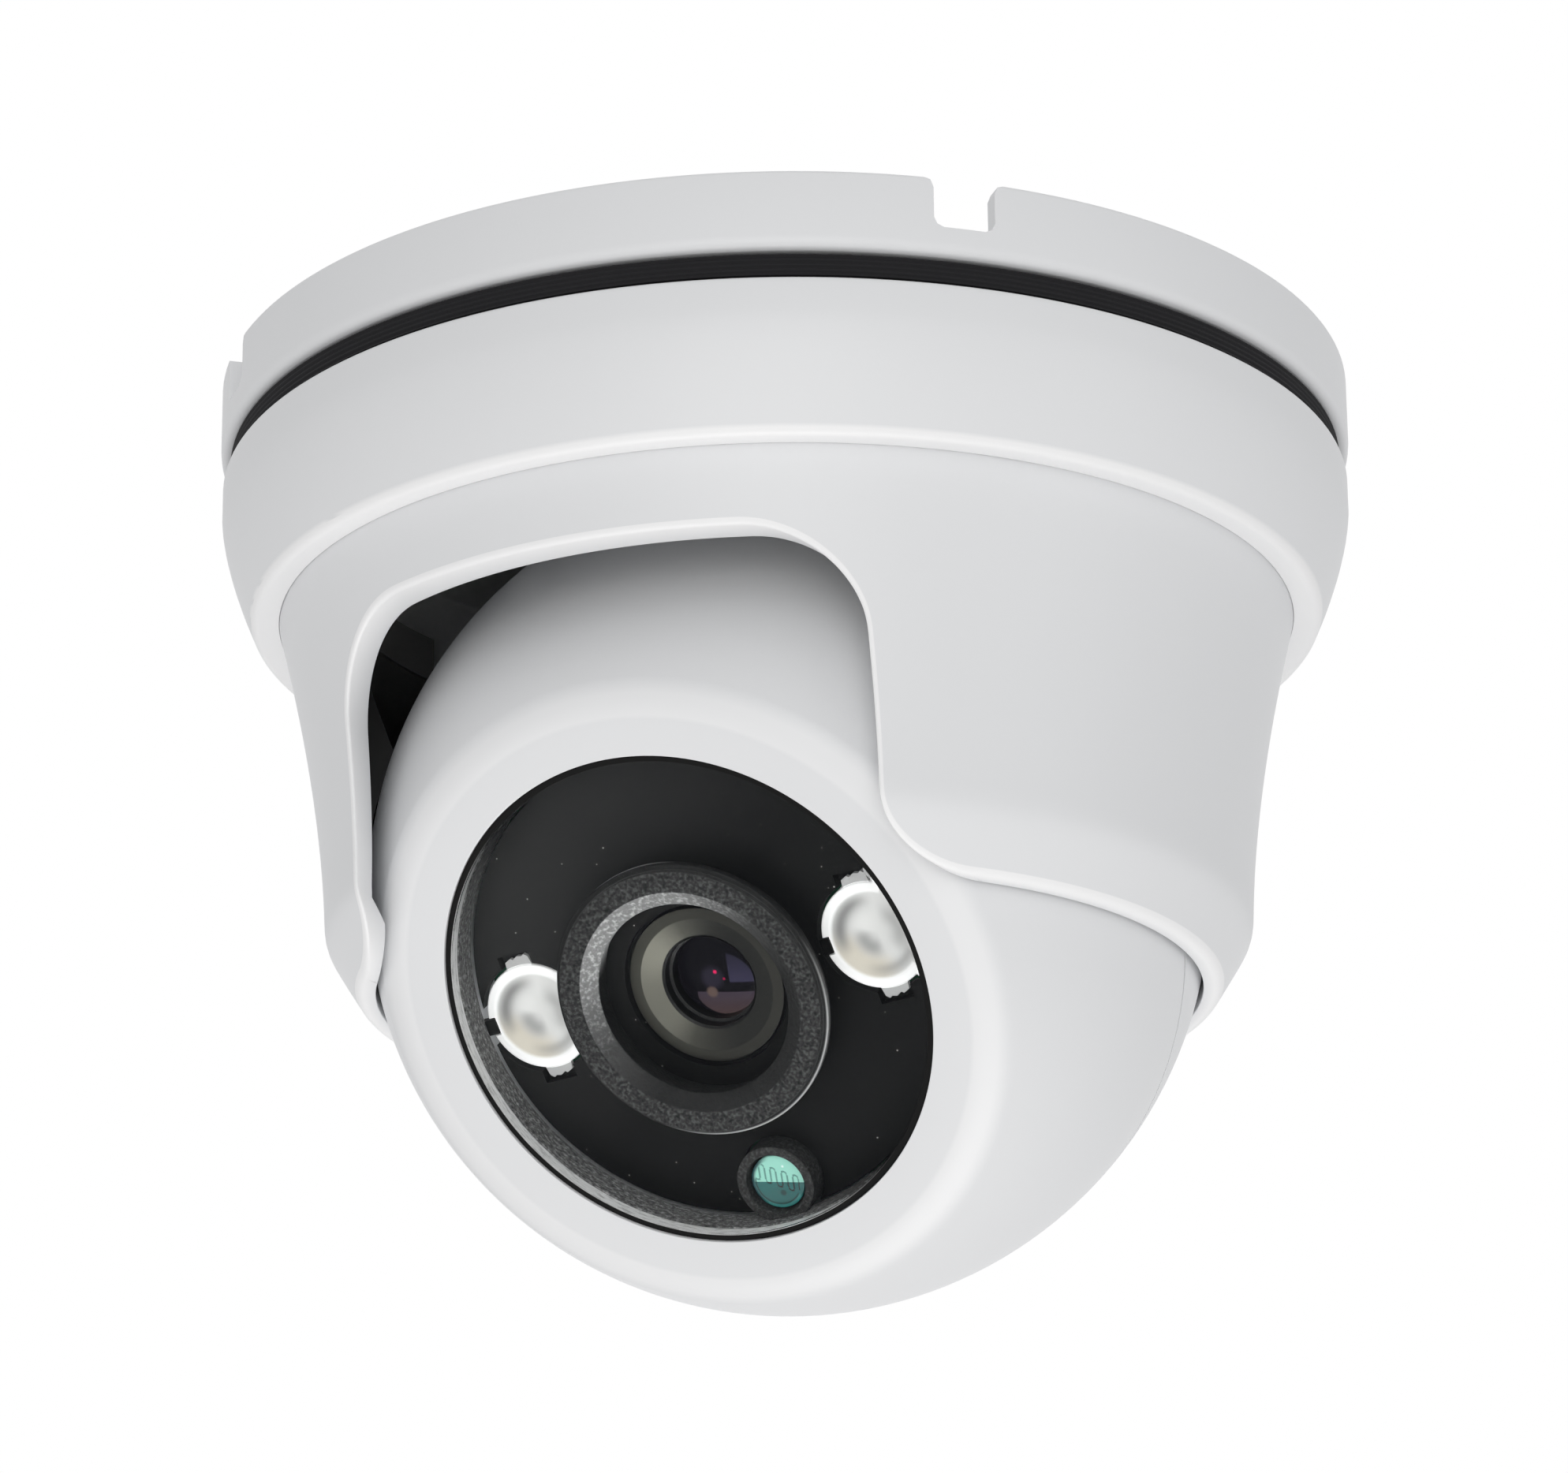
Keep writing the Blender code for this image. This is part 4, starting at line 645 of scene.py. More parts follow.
def inner_radius(height):
    lip = np.interp(height, [LIP_BOTTOM, LIP_BOTTOM + 3, LIP_TOP], [LIP_INNER, 34.42, WAIST - COLLAR_WALL])
    thickening = (NECK_WALL - COLLAR_WALL) * np.clip((height - LIP_TOP) / (NOTCH_TOP - LIP_TOP), 0, 1)
    return np.where(height > LIP_TOP, outer_radius(height) - COLLAR_WALL - thickening, lip)


def on_sleeve(unrolled, radius_at):
    """Unrolled points (distance round, height) laid on a surface of revolution, with the front at -Y."""
    angle, height = unrolled[..., 0] / UNROLL, unrolled[..., 1]
    radius = radius_at(height)
    return np.stack([radius * np.sin(angle), -radius * np.cos(angle), height], -1)


# %% Lay out the collar's edge


def notch_edge(count):
    """Points (x, z) on the right half of the notch, from its middle down to its flared foot."""
    turn = np.radians(np.linspace(90, 0, 24))
    corner_x = NOTCH_HALF - NOTCH_CORNER + NOTCH_CORNER * np.cos(turn)
    corner_z = NOTCH_TOP - NOTCH_CORNER + NOTCH_CORNER * np.sin(turn)
    turn = np.radians(np.linspace(180, 270, 16))
    foot_x = NOTCH_HALF + NOTCH_FLARE + NOTCH_FLARE * np.cos(turn)
    foot_z = LIP_BOTTOM + NOTCH_FLARE + NOTCH_FLARE * np.sin(turn)
    x = np.concatenate([[0], corner_x, foot_x])
    z = np.concatenate([[NOTCH_TOP], corner_z, foot_z])
    length = np.concatenate([[0], np.cumsum(np.hypot(np.diff(x), np.diff(z)))])
    even = np.linspace(0, length[-1], count)
    return np.interp(even, length, x), np.interp(even, length, z)


def edge_line(radius_at, notch_count, lip_count, settle_angle):
    """One wall's edge, unrolled: the notch, cut straight along Y, and then the lip round to the back."""
    x, z = notch_edge(notch_count)
    notch_angle = np.arcsin(x / radius_at(z))
    outer_start = np.arcsin(x[-1] / outer_radius(LIP_BOTTOM))
    lip_angle = np.linspace(outer_start, math.pi, lip_count + 1)[1:]
    lead = notch_angle[-1] - outer_start
    lip_angle = lip_angle + lead * np.exp(-(lip_angle - outer_start) / settle_angle) * (1 - lip_angle / math.pi)
    angle = np.concatenate([notch_angle, lip_angle])
    height = np.concatenate([z, np.full(lip_count, LIP_BOTTOM)])
    half = np.stack([angle * UNROLL, height], -1)
    mirrored = half[1:-1][::-1] * (-1, 1) + (2 * math.pi * UNROLL, 0)
    return np.concatenate([half, mirrored])


def into_wall(line):
    """Unit steps from the edge into the wall, in the unrolled plane."""
    round_trip = np.array((2 * math.pi * UNROLL, 0))
    ahead = np.roll(line, -1, 0)
    ahead[-1] += round_trip
    behind = np.roll(line, 1, 0)
    behind[0] -= round_trip
    tangent = ahead - behind
    steps = np.stack([-tangent[:, 1], tangent[:, 0]], -1)
    return steps / np.linalg.norm(steps, axis=1, keepdims=True)


# %% Fill the collar's walls


def wall_rows(start, steps, top, rows, radius_at):
    """Rows of points from just inside the edge up to a level line, leaving the edge squarely."""
    middle = np.linspace(0, 2 * math.pi * UNROLL, len(start), endpoint=False)
    finish_line = np.stack([0.55 * start[:, 0] + 0.45 * middle, np.full(len(start), top)], -1)
    rise = top - start[:, 1:]
    pull_in = steps * np.minimum(0.5 * rise, 9)
    pull_up = np.concatenate([np.zeros_like(rise), 0.6 * rise], 1)
    placed = []
    for share in np.linspace(0, 1, rows) ** 1.25:
        settle_in = (1 - share) ** 2
        point = (1 + 2 * share) * settle_in * start + share**2 * (3 - 2 * share) * finish_line
        point = point + share * settle_in * pull_in + share**2 * (share - 1) * pull_up
        placed.append(on_sleeve(point, radius_at))
    return placed


def bend(first, corner, last, steps=6):
    """A rounded corner between two lines of points."""
    shares = [step / steps for step in range(1, steps)]
    return [(1 - s) ** 2 * first + 2 * s * (1 - s) * corner + s * s * last for s in shares]


def collar_rows():
    outer_edge = edge_line(outer_radius, 120, 170, 0.35)
    inner_edge = edge_line(inner_radius, 120, 170, 0.35)
    outer_steps, inner_steps = into_wall(outer_edge), into_wall(inner_edge)
    outer_start = outer_edge + OUTER_ROUND * outer_steps
    inner_start = inner_edge + INNER_ROUND * inner_steps
    outside = wall_rows(outer_start, outer_steps, FLANGE_BOTTOM, 56, outer_radius)
    inside = wall_rows(inner_start, inner_steps, FLANGE_TOP, 30, inner_radius)
    outer_line, inner_line = on_sleeve(outer_edge, outer_radius), on_sleeve(inner_edge, inner_radius)
    through = inner_line - outer_line
    through /= np.linalg.norm(through, axis=1, keepdims=True)
    outer_flat = outer_line + OUTER_ROUND * through
    inner_flat = inner_line - INNER_ROUND * through
    edge_round = [outer_flat, *bend(outer_flat, outer_line, outside[0])]
    edge_inside = [*bend(inside[0], inner_line, inner_flat), inner_flat]
    level = outside[-1][:, :2] / np.linalg.norm(outside[-1][:, :2], axis=1, keepdims=True)
    flange = [np.column_stack([level * FLANGE_RADIUS, np.full(len(level), z)]) for z in (FLANGE_BOTTOM, FLANGE_TOP)]
    plain_rows, round_rows = len(inside) + len(edge_inside), len(edge_round)
    # Painted highlight: the rows of the outer rounding of the notch and lip are painted paler.
    bright = np.zeros(plain_rows + round_rows + len(outside) + len(flange))
    bright[plain_rows : plain_rows + round_rows + 1] = 0.65
    return inside[::-1] + edge_inside + edge_round + outside + flange, bright


def loop_mesh(name, rows, bright, material):
    """A closed mesh from rows of points that close round and end where they start, with the rows of its painted
    highlight marked.
    """
    count, around = len(rows), len(rows[0])
    faces = []
    for row in range(count):
        for column in range(around):
            after = (column + 1) % around
            below = (row + 1) % count
            faces.append((row * around + column, row * around + after, below * around + after, below * around + column))
    mesh = bpy.data.meshes.new(name)
    mesh.from_pydata([tuple(point * MM) for row in rows for point in row], [], faces)
    mark_highlights(mesh, np.repeat(bright, around))
    mesh.materials.append(material)
    return settle(new_object(name, mesh))


collar = loop_mesh("collar_sleeve", *collar_rows(), white_shell)
hand_over(collar, "collar", "white_shell", "collar")

# %% [markdown]
# ## Ball shells
# The ball is two moulded halves that meet on a thin seam. The front half ends in a flat bezel with a soft edge
# and a deep round opening for the window. The rear half has the cable's hole and three sunk screws. Bosses inside
# hold the boards and the screws, and they are joined on and drilled as in the solids.

# %% Turn the front shell
BALL_RADIUS, BALL_BORE = 34.57, 32.44
FACE, BEZEL_RADIUS, BEZEL_EDGE, SHOULDER, WINDOW_BORE = 22.935, 24.96, 1.1, 21.935, 20.81
FRONT_SEAM, REAR_SEAM, BORE_END = 1.45, 1.15, 14.285
BOARD_CORNERS = [(x, y) for x in (-17, 17) for y in (-17, 17)]
SHELL_PLACES = ring_places(3, 29.14, 90)


def shell_bosses(low, high):
    """The bosses of the closing screws, trimmed to the ball's wall."""
    profile = [(0, -33.5), *sphere_points(33.5, -33.4, 33.4, 60), (0, 33.5), (0, -33.5)]
    bosses = [rod(2.7, low, high, x, y) for x, y in SHELL_PLACES]
    for boss in bosses:
        combine(boss, "INTERSECT", [turned("limit", profile, None, 96)])
    return bosses


corners = sphere_points(BALL_RADIUS, FRONT_SEAM, SHOULDER, 48)
corners += [(BEZEL_RADIUS, FACE, BEZEL_EDGE), (WINDOW_BORE, FACE, 0.08), (WINDOW_BORE, BORE_END)]
corners += [(WINDOW_BORE + 2.2, BORE_END), (WINDOW_BORE + 2.2, FACE - 2.2)]
corners += sphere_points(BALL_BORE, FRONT_SEAM, FACE - 2.2, 24)[::-1]
front_shell = turned("front_shell", rounded(corners), white_shell)
board_bosses = [rod(2.4, BORE_END, 21.2, x, y, 32) for x, y in BOARD_CORNERS]
combine(front_shell, "UNION", board_bosses + shell_bosses(FRONT_SEAM + 0.3, FACE - 2.2))
stud_holes = [rod(1.2, 0, 17.6, x, y, 24) for x, y in BOARD_CORNERS]
combine(front_shell, "DIFFERENCE", stud_holes + [rod(1.1, 0, 9.6, x, y, 24) for x, y in SHELL_PLACES])
# Painted highlight: the bezel's rounded edge is painted a little paler.
edge_start = BEZEL_RADIUS - BEZEL_EDGE + 0.1
bezel_highlight = [point.co.z > SHOULDER * MM and point.co.xy.length > edge_start * MM for point in front_shell.data.vertices]
mark_highlights(front_shell.data, [0.3 * inside for inside in bezel_highlight])
hand_over(front_shell, "ball", "white_shell", "ball_front_shell", place=in_ball)

# %% Turn the rear shell
REAR_FLAT, REAR_FLAT_INNER = -32.59, -30.39
STEP_RADIUS, STEP_HEIGHT = 33.54, -0.4
GLAND_HOLE, SCREW_SEAT = 4.6, -4.7


def screw_sink(x, y):
    """The hole of a closing screw: wide for its head, narrow for its shank."""
    profile = [(0, -36), (2.1, -36), (2.1, SCREW_SEAT), (1.1, SCREW_SEAT), (1.1, FACE), (0, FACE), (0, -36)]
    sink = turned("screw_sink", profile, None, 40)
    sink.data.transform(Matrix.Translation((x * MM, y * MM, 0)))
    return sink


corners = sphere_points(BALL_RADIUS, REAR_FLAT, REAR_SEAM, 60)
corners += [(STEP_RADIUS, REAR_SEAM), (STEP_RADIUS, STEP_HEIGHT)]
corners += sphere_points(BALL_BORE, REAR_FLAT_INNER, STEP_HEIGHT, 40)[::-1]
corners += [(GLAND_HOLE, REAR_FLAT_INNER, 0.2), (GLAND_HOLE, REAR_FLAT, 0.2)]
rear_shell = turned("rear_shell", rounded(corners), white_shell)
combine(rear_shell, "UNION", shell_bosses(-BALL_RADIUS, REAR_SEAM - 0.3))
combine(rear_shell, "DIFFERENCE", [screw_sink(x, y) for x, y in SHELL_PLACES])
hand_over(rear_shell, "ball", "white_shell", "ball_rear_shell", place=in_ball)

# %% [markdown]
# ## Places on the window
# Much of what shows behind the window is soft shading: a frosted lens, a coated glass, a track under a filter. These
# are painted by rules in each material. The rules need to know where a point lies in the window: how far right and
# up, how far from a middle, and how deep. All of it comes from the point's own place and the ball's frame.

# %% Measure and shade in the ball's frame
SLANT = math.radians(-13)


def ball_place(tree, direction):
    """How far a point lies from the ball's centre along a direction, in millimetres."""
    coords = add(tree, "ShaderNodeTexCoord")
    along = add(tree, "ShaderNodeVectorMath", operation="DOT_PRODUCT")
    tree.links.new(coords.outputs["Object"], along.inputs[0])
    along.inputs[1].default_value = direction
    away = sum_node(tree, "SUBTRACT", along.outputs["Value"], ball_centre.dot(direction))
    return sum_node(tree, "MULTIPLY", away, 1 / MM)


def distance_of(tree, rightward, upwards):
    squares = [sum_node(tree, "MULTIPLY", side, side) for side in (rightward, upwards)]
    return sum_node(tree, "SQRT", sum_node(tree, "ADD", *squares), 0)


def window_place(tree, x=0.0, y=0.0, lean=0.0):
    """How far right of, above and away from a point of the window, with the axes leaned by an angle."""
    to_right = across * math.cos(lean) + upward * math.sin(lean)
    to_up = upward * math.cos(lean) - across * math.sin(lean)
    rightward = sum_node(tree, "SUBTRACT", ball_place(tree, to_right), x * math.cos(lean) + y * math.sin(lean))
    upwards = sum_node(tree, "SUBTRACT", ball_place(tree, to_up), y * math.cos(lean) - x * math.sin(lean))
    return rightward, upwards, distance_of(tree, rightward, upwards)


def soft_step(tree, value, low, high):
    """0 before one value, 1 past another, and a smooth rise between them."""
    step = add(tree, "ShaderNodeMapRange", interpolation_type="SMOOTHSTEP")
    step.inputs["From Min"].default_value = low
    step.inputs["From Max"].default_value = high
    tree.links.new(value, step.inputs["Value"])
    return step.outputs["Result"]


def ridge(tree, value, middle, width):
    """1 at one value, falling off softly to both sides."""
    away = sum_node(tree, "DIVIDE", sum_node(tree, "SUBTRACT", value, middle), width)
    square = sum_node(tree, "MULTIPLY", away, away)
    return sum_node(tree, "POWER", math.e, sum_node(tree, "MULTIPLY", square, -1))


def facing(tree, place, angle):
    """How much a place lies towards an angle in degrees: 1 that way, 0 square to it, -1 opposite."""
    rightward, upwards, distance = place
    level = sum_node(tree, "MULTIPLY", rightward, math.cos(math.radians(angle)))
    steep = sum_node(tree, "MULTIPLY", upwards, math.sin(math.radians(angle)))
    return sum_node(tree, "DIVIDE", sum_node(tree, "ADD", level, steep), distance)


def all_of(tree, *masks):
    """The product of several masks."""
    result = masks[0]
    for mask in masks[1:]:
        result = sum_node(tree, "MULTIPLY", result, mask)
    return result


def painted(tree, ground, *layers):
    """Colours laid over a ground, each with its mask."""
    for mask, colour in layers:
        ground = blend_colour(tree, "MIX", mask, ground, colour)
    return ground


def grey(level):
    return (level, level, level, 1)


def shades(tree, value, low, high, stops):
    """A colour ramp over a range of a value: stops of (share, colour)."""
    spread = add(tree, "ShaderNodeMapRange")
    spread.inputs["From Min"].default_value = low
    spread.inputs["From Max"].default_value = high
    tree.links.new(value, spread.inputs["Value"])
    ramp = add(tree, "ShaderNodeValToRGB")
    tree.links.new(spread.outputs["Result"], ramp.inputs["Fac"])
    while len(ramp.color_ramp.elements) < len(stops):
        ramp.color_ramp.elements.new(0.5)
    for element, (place, colour) in zip(ramp.color_ramp.elements, stops):
        element.position = place
        element.color = colour
    return ramp.outputs["Color"]


def recolour(material, colour):
    """Puts a colour over the finish's own grain, in place of its even one."""
    tree = material.node_tree
    skin = next(n for n in tree.nodes if n.type == "GROUP" and n.node_tree == GRAIN)
    tree.links.new(colour, skin.inputs["Colour"])


print("lens axis leans", round(math.degrees(math.asin(-lens_axis.z)), 1), "degrees below level")

# %% [markdown]
# ## Lining
# Two black halves line the collar and hold the ball down on its lip. From below only their inner side shows, beside
# the ball: a dark slope, a fine joint along its top, and a short tab above the joint. Slope and seat are turned as
# one profile and cut to halves with a wedge. The tab is a stub of another turning, cut the same way.

# %% Turn the lining
SEAT_RADIUS, SEAT_TOP, SEAT_BOTTOM = 34.94, -30.99, -46.79
RIM_RADIUS, TAB_TOP, JOINT = 37.74, -12.6, 0.25
TAB_NECK, TAB_OUTSIDE = RIM_RADIUS + 0.35, RIM_RADIUS + 0.8
LINING_GAP, WEDGE_REACH, LINING_START = 0.1, 60, 62
lining_plastic = finish("lining_plastic", (0.014, 0.014, 0.016), 0.42, 0.4, 0.01, mottle=0.2)


def wedge(first, last):
    """A wedge between two angles, counted from the front, to keep or take a part of a turned piece."""
    angles = np.radians(np.linspace(first, last, 13))
    rim = [(WEDGE_REACH * math.sin(a), -WEDGE_REACH * math.cos(a)) for a in angles]
    return outline_solid([(0, 0), *rim], LIP_BOTTOM, 0)


def paint_lining():
    """Painted light: the moulding is black at the seat, and is painted greyer up its slope and paler on the tab, where
    more light reaches.
    """
    tree = lining_plastic.node_tree
    height = sum_node(tree, "ADD", ball_place(tree, Vector((0, 0, 1))), CENTRE_HEIGHT)
    low, joint = FLANGE_TOP - 8, FLANGE_TOP + JOINT
    # Painted light: black low on the slope, greyer towards its top, and paler still on the tab above the joint.
    slope = shades(tree, height, low, FLANGE_TOP, [(0, grey(0.014)), (1, grey(0.16))])
    recolour(lining_plastic, painted(tree, slope, (soft_step(tree, height, joint - 0.1, joint), grey(0.34))))


def lining(name, side_sign, node):
    outer = [(float(inner_radius(z)) - LINING_GAP, z) for z in np.linspace(FLANGE_TOP, SEAT_BOTTOM, 24)]
    seat = [(math.sqrt(SEAT_RADIUS**2 - (z - CENTRE_HEIGHT) ** 2), z) for z in np.linspace(SEAT_BOTTOM, SEAT_TOP, 20)]
    item = turned(name, rounded([*outer, *seat, (RIM_RADIUS, FLANGE_TOP, 0.15)]), lining_plastic)
    combine(item, "INTERSECT", [wedge(LINING_START * side_sign, 168 * side_sign)])
    joint, neck_foot = FLANGE_TOP + JOINT, FLANGE_TOP - JOINT
    corners = [(RIM_RADIUS, joint), (TAB_NECK, joint), (TAB_NECK, neck_foot), (TAB_OUTSIDE, neck_foot)]
    corners += [(TAB_OUTSIDE, TAB_TOP, 0.2), (RIM_RADIUS, TAB_TOP, 0.2)]
    tab = turned("tab", rounded(corners), lining_plastic)
    combine(tab, "INTERSECT", [wedge(78 * side_sign, 98 * side_sign)])
    combine(item, "UNION", [tab])
    hand_over(item, "collar", "black_plastic", node)


paint_lining()
lining("lining_left", -1, "ball_cradle_left")
lining("lining_right", 1, "ball_cradle_right")

# %% [markdown]
# ## Window glass and its seal
# A clear disc closes the ball, flush with the bezel. It is coated, so it mirrors very little of the bright room: an
# even veil, which is a painted reflection, given to it as a faint emission. A black rubber ring holds it. Through the
# glass the ring's inner side is seen at the window's lower left, and its look there is painted light: a painted bright
# line where it meets the ground edge of the glass, and below that a streaky grey, painted on that lit side only.

# %% Paint the seal
GLASS_RADIUS, GLASS_FRONT, GLASS_BACK = 20.22, 22.835, 22.335
SEAL_RADIUS, SEAL_EDGE, SEAL_BORE, SEAL_LIP, SEAL_STEP, SEAL_BACK = 20.77, 20.26, 20.16, 22.72, 21.42, 18.985
STREAK_AROUND, STREAK_ACROSS = 45, 4.0
LOWER_LEFT = 215
seal_rubber = finish("seal_rubber", (0.02, 0.02, 0.021), 0.7, 0.3, 0.03, mottle=0.2, Specular_IOR_Level=0.1)


def streaks(tree, depth, stretch):
    """Long specks that run round the window."""
    rightward, upwards, _ = window_place(tree, lean=math.radians(LOWER_LEFT))
    turn = sum_node(tree, "ARCTAN2", upwards, rightward)
    spot = add(tree, "ShaderNodeCombineXYZ")
    tree.links.new(sum_node(tree, "MULTIPLY", turn, STREAK_AROUND / stretch), spot.inputs["X"])
    tree.links.new(sum_node(tree, "MULTIPLY", depth, STREAK_ACROSS), spot.inputs["Y"])
    specks = add(tree, "ShaderNodeTexNoise")
    specks.inputs["Scale"].default_value = 1
    specks.inputs["Detail"].default_value = 5
    specks.inputs["Roughness"].default_value = 0.7
    tree.links.new(spot.outputs["Vector"], specks.inputs["Vector"])
    return specks.outputs["Fac"]


def paint_seal():
    tree = seal_rubber.node_tree
    depth = ball_place(tree, lens_axis)
    place = window_place(tree)
    # Painted light: the streaky grey and the bright line by the glass's edge are painted on the lit lower left only;
    # the rest of the ring stays dark.
    worn = shades(tree, streaks(tree, depth, 1), 0.3, 0.75, [(0, grey(0.03)), (0.45, grey(0.15)), (1, grey(0.6))])
    painted_glint = shades(tree, streaks(tree, depth, 3), 0.3, 0.7, [(0, grey(0.4)), (0.5, grey(0.9)), (1, grey(1.0))])
    black_rim = soft_step(tree, place[2], SEAL_EDGE + 0.02, SEAL_EDGE + 0.04)
    lit = soft_step(tree, facing(tree, place, LOWER_LEFT), -0.1, 0.6)
    inside = painted(tree, worn, (soft_step(tree, depth, SEAL_STEP + 0.05, SEAL_STEP + 0.15), painted_glint))
    inside = painted(tree, grey(0.02), (lit, inside))
    recolour(seal_rubber, painted(tree, inside, (black_rim, grey(0.009))))


paint_seal()

# %% Turn the glass and the seal
# Painted reflection: a faint bluish emission stands for the room mirrored in the coated glass.
window = finish(
    "window", (0.97, 0.98, 0.98), 0.03, 6.0, 0.0004, mottle=0.01, spread=0.02,
    Transmission_Weight=1.0, IOR=1.04, Emission_Strength=0.0026, Emission_Color=(0.86, 0.93, 1.0, 1),
)
corners = [(0, GLASS_BACK), (GLASS_RADIUS, GLASS_BACK, 0.1), (GLASS_RADIUS, GLASS_FRONT, 0.15), (0, GLASS_FRONT)]
glass = turned("window_disc", rounded(corners), window, 256)
hand_over(glass, "ball", "window", "window_glass", place=in_ball)
corners = [(SEAL_BORE, SEAL_BACK), (SEAL_RADIUS, SEAL_BACK), (SEAL_RADIUS, SEAL_LIP, 0.1), (SEAL_EDGE, SEAL_LIP, 0.08)]
corners += [(SEAL_EDGE, SEAL_STEP), (SEAL_BORE, SEAL_STEP)]
seal = turned("window_seal_ring", rounded(corners), seal_rubber, 256)
hand_over(seal, "ball", "black_rubber", "window_seal", place=in_ball)

# %% [markdown]
# ## Mask
# A black plate hides the boards, with round holes for the lens, the two lamps and the light sensor. Each lamp's hole
# has a key that fits a notch in the lamp's lens, and two slots for the lens's moulding tabs. Specks of dust lie on it.

# %% Cut the mask
MASK_RADIUS, MASK_BACK, MASK_FRONT = 20.1, 17.685, 18.685
LAMP_OFFSET, LAMP_RISE, SENSOR_SIDE, SENSOR_DROP = 15.56, 0.4, 0.2, -17.28
KEY_HALF, KEY_TIP, KEY_ROOT, TAB_HALF, SLOT_FLOOR = 0.65, 3.95, 5.2, 1.25, 17.9
LENS_SHIFT = Matrix.Translation((-0.05 * MM, -0.33 * MM, 0))
mask_black = finish(
    "mask_black", (0.006, 0.006, 0.0065), 0.5, 0.3, 0.004, mottle=0.3, dust=0.13, spacing=0.5, Specular_IOR_Level=0.12
)


def box(left, right_side, low, high, back_face, front_face, x=0.0, y=0.0):
    outline = [(left + x, low + y), (right_side + x, low + y), (right_side + x, high + y), (left + x, high + y)]
    return outline_solid(outline, back_face, front_face)


def paint_mask():
    """Painted reflection: the black is painted a little greyer towards the upper left, where the room is mirrored."""
    tree = mask_black.node_tree
    towards_reflection, _, _ = window_place(tree, lean=math.radians(135))
    black = shades(tree, towards_reflection, -18, 18, [(0, grey(0.002)), (0.5, grey(0.003)), (1, grey(0.028))])
    skin = next(node for node in tree.nodes if node.type == "GROUP" and node.node_tree == GRAIN)
    tree.links.new(black, skin.inputs["Colour"])


paint_mask()
corners = [(0, MASK_BACK), (MASK_RADIUS, MASK_BACK), (MASK_RADIUS, MASK_FRONT, 0.1), (0, MASK_FRONT)]
mask = turned("mask_disc", rounded(corners), mask_black, 256)
posts = [rod(1.2, MASK_BACK - 3.4, MASK_BACK + 0.5, x, y, 24) for x, y in ring_places(4, 17.91, 45)]
combine(mask, "UNION", posts)
skirt = turned("skirt", [(6.7, 15.2), (7.6, 15.2), (7.6, 18.0), (6.7, 18.0), (6.7, 15.2)], mask_black, 128)
skirt.data.transform(LENS_SHIFT)
openings = [(6.95, -0.05, -0.33), (4.75, -LAMP_OFFSET, LAMP_RISE), (4.75, LAMP_OFFSET, LAMP_RISE), (3.5, SENSOR_SIDE, SENSOR_DROP)]
cutters = [rod(radius, 16, 20, x, y, 128) for radius, x, y in openings]
for lamp_x in (-LAMP_OFFSET, LAMP_OFFSET):
    cutters.append(box(-TAB_HALF - 0.2, TAB_HALF + 0.2, -5.6, 5.6, SLOT_FLOOR, 20, lamp_x, LAMP_RISE))
combine(mask, "DIFFERENCE", cutters)
combine(mask, "UNION", [skirt])
keys = [box(-KEY_ROOT, -KEY_TIP, -KEY_HALF, KEY_HALF, 17.75, 18.5, x, LAMP_RISE) for x in (-LAMP_OFFSET, LAMP_OFFSET)]
combine(mask, "UNION", keys)
hand_over(mask, "ball", "black_plastic", "mask_plate", place=in_ball)

# %% [markdown]
# ## Hood
# A ring of grained cellular rubber stands round the lens and touches the glass, to keep the lamps' light out of it.
# Its face is dark and coarse, with a smooth lower rim outside. Its inner edge slopes in to the lens. The slope is
# painted pale where it faces the room, at the upper left, and thin highlights are painted along the rim: painted light.

# %% Turn and paint the hood
HOOD_RADIUS, HOOD_RIM, HOOD_FACE, HOOD_BORE, HOOD_FOOT = 11.6, 11.15, 9.4, 8.1, 10.4
HOOD_FRONT, HOOD_BACK, RIM_DROP, RIM_BACK, SLOPE_DROP, BORE_DROP = 22.235, 18.985, 0.5, 1.2, 0.8, 1.3
UPPER_LEFT = 115
hood_rubber = finish("hood_rubber", (0.04, 0.04, 0.042), 0.75, 0.3, 0.1, mottle=0.2, Specular_IOR_Level=0.3)


def flecks(tree, size, low, high):
    """Fine grain as a shade: low in its pits and high on its tops."""
    grains = add(tree, "ShaderNodeTexNoise")
    grains.inputs["Scale"].default_value = 1 / (size * MM)
    grains.inputs["Detail"].default_value = 2
    tree.links.new(add(tree, "ShaderNodeTexCoord").outputs["Object"], grains.inputs["Vector"])
    return shades(tree, grains.outputs["Fac"], 0.3, 0.7, [(0, grey(low)), (0.5, grey((low + high) / 3)), (1, grey(high))])


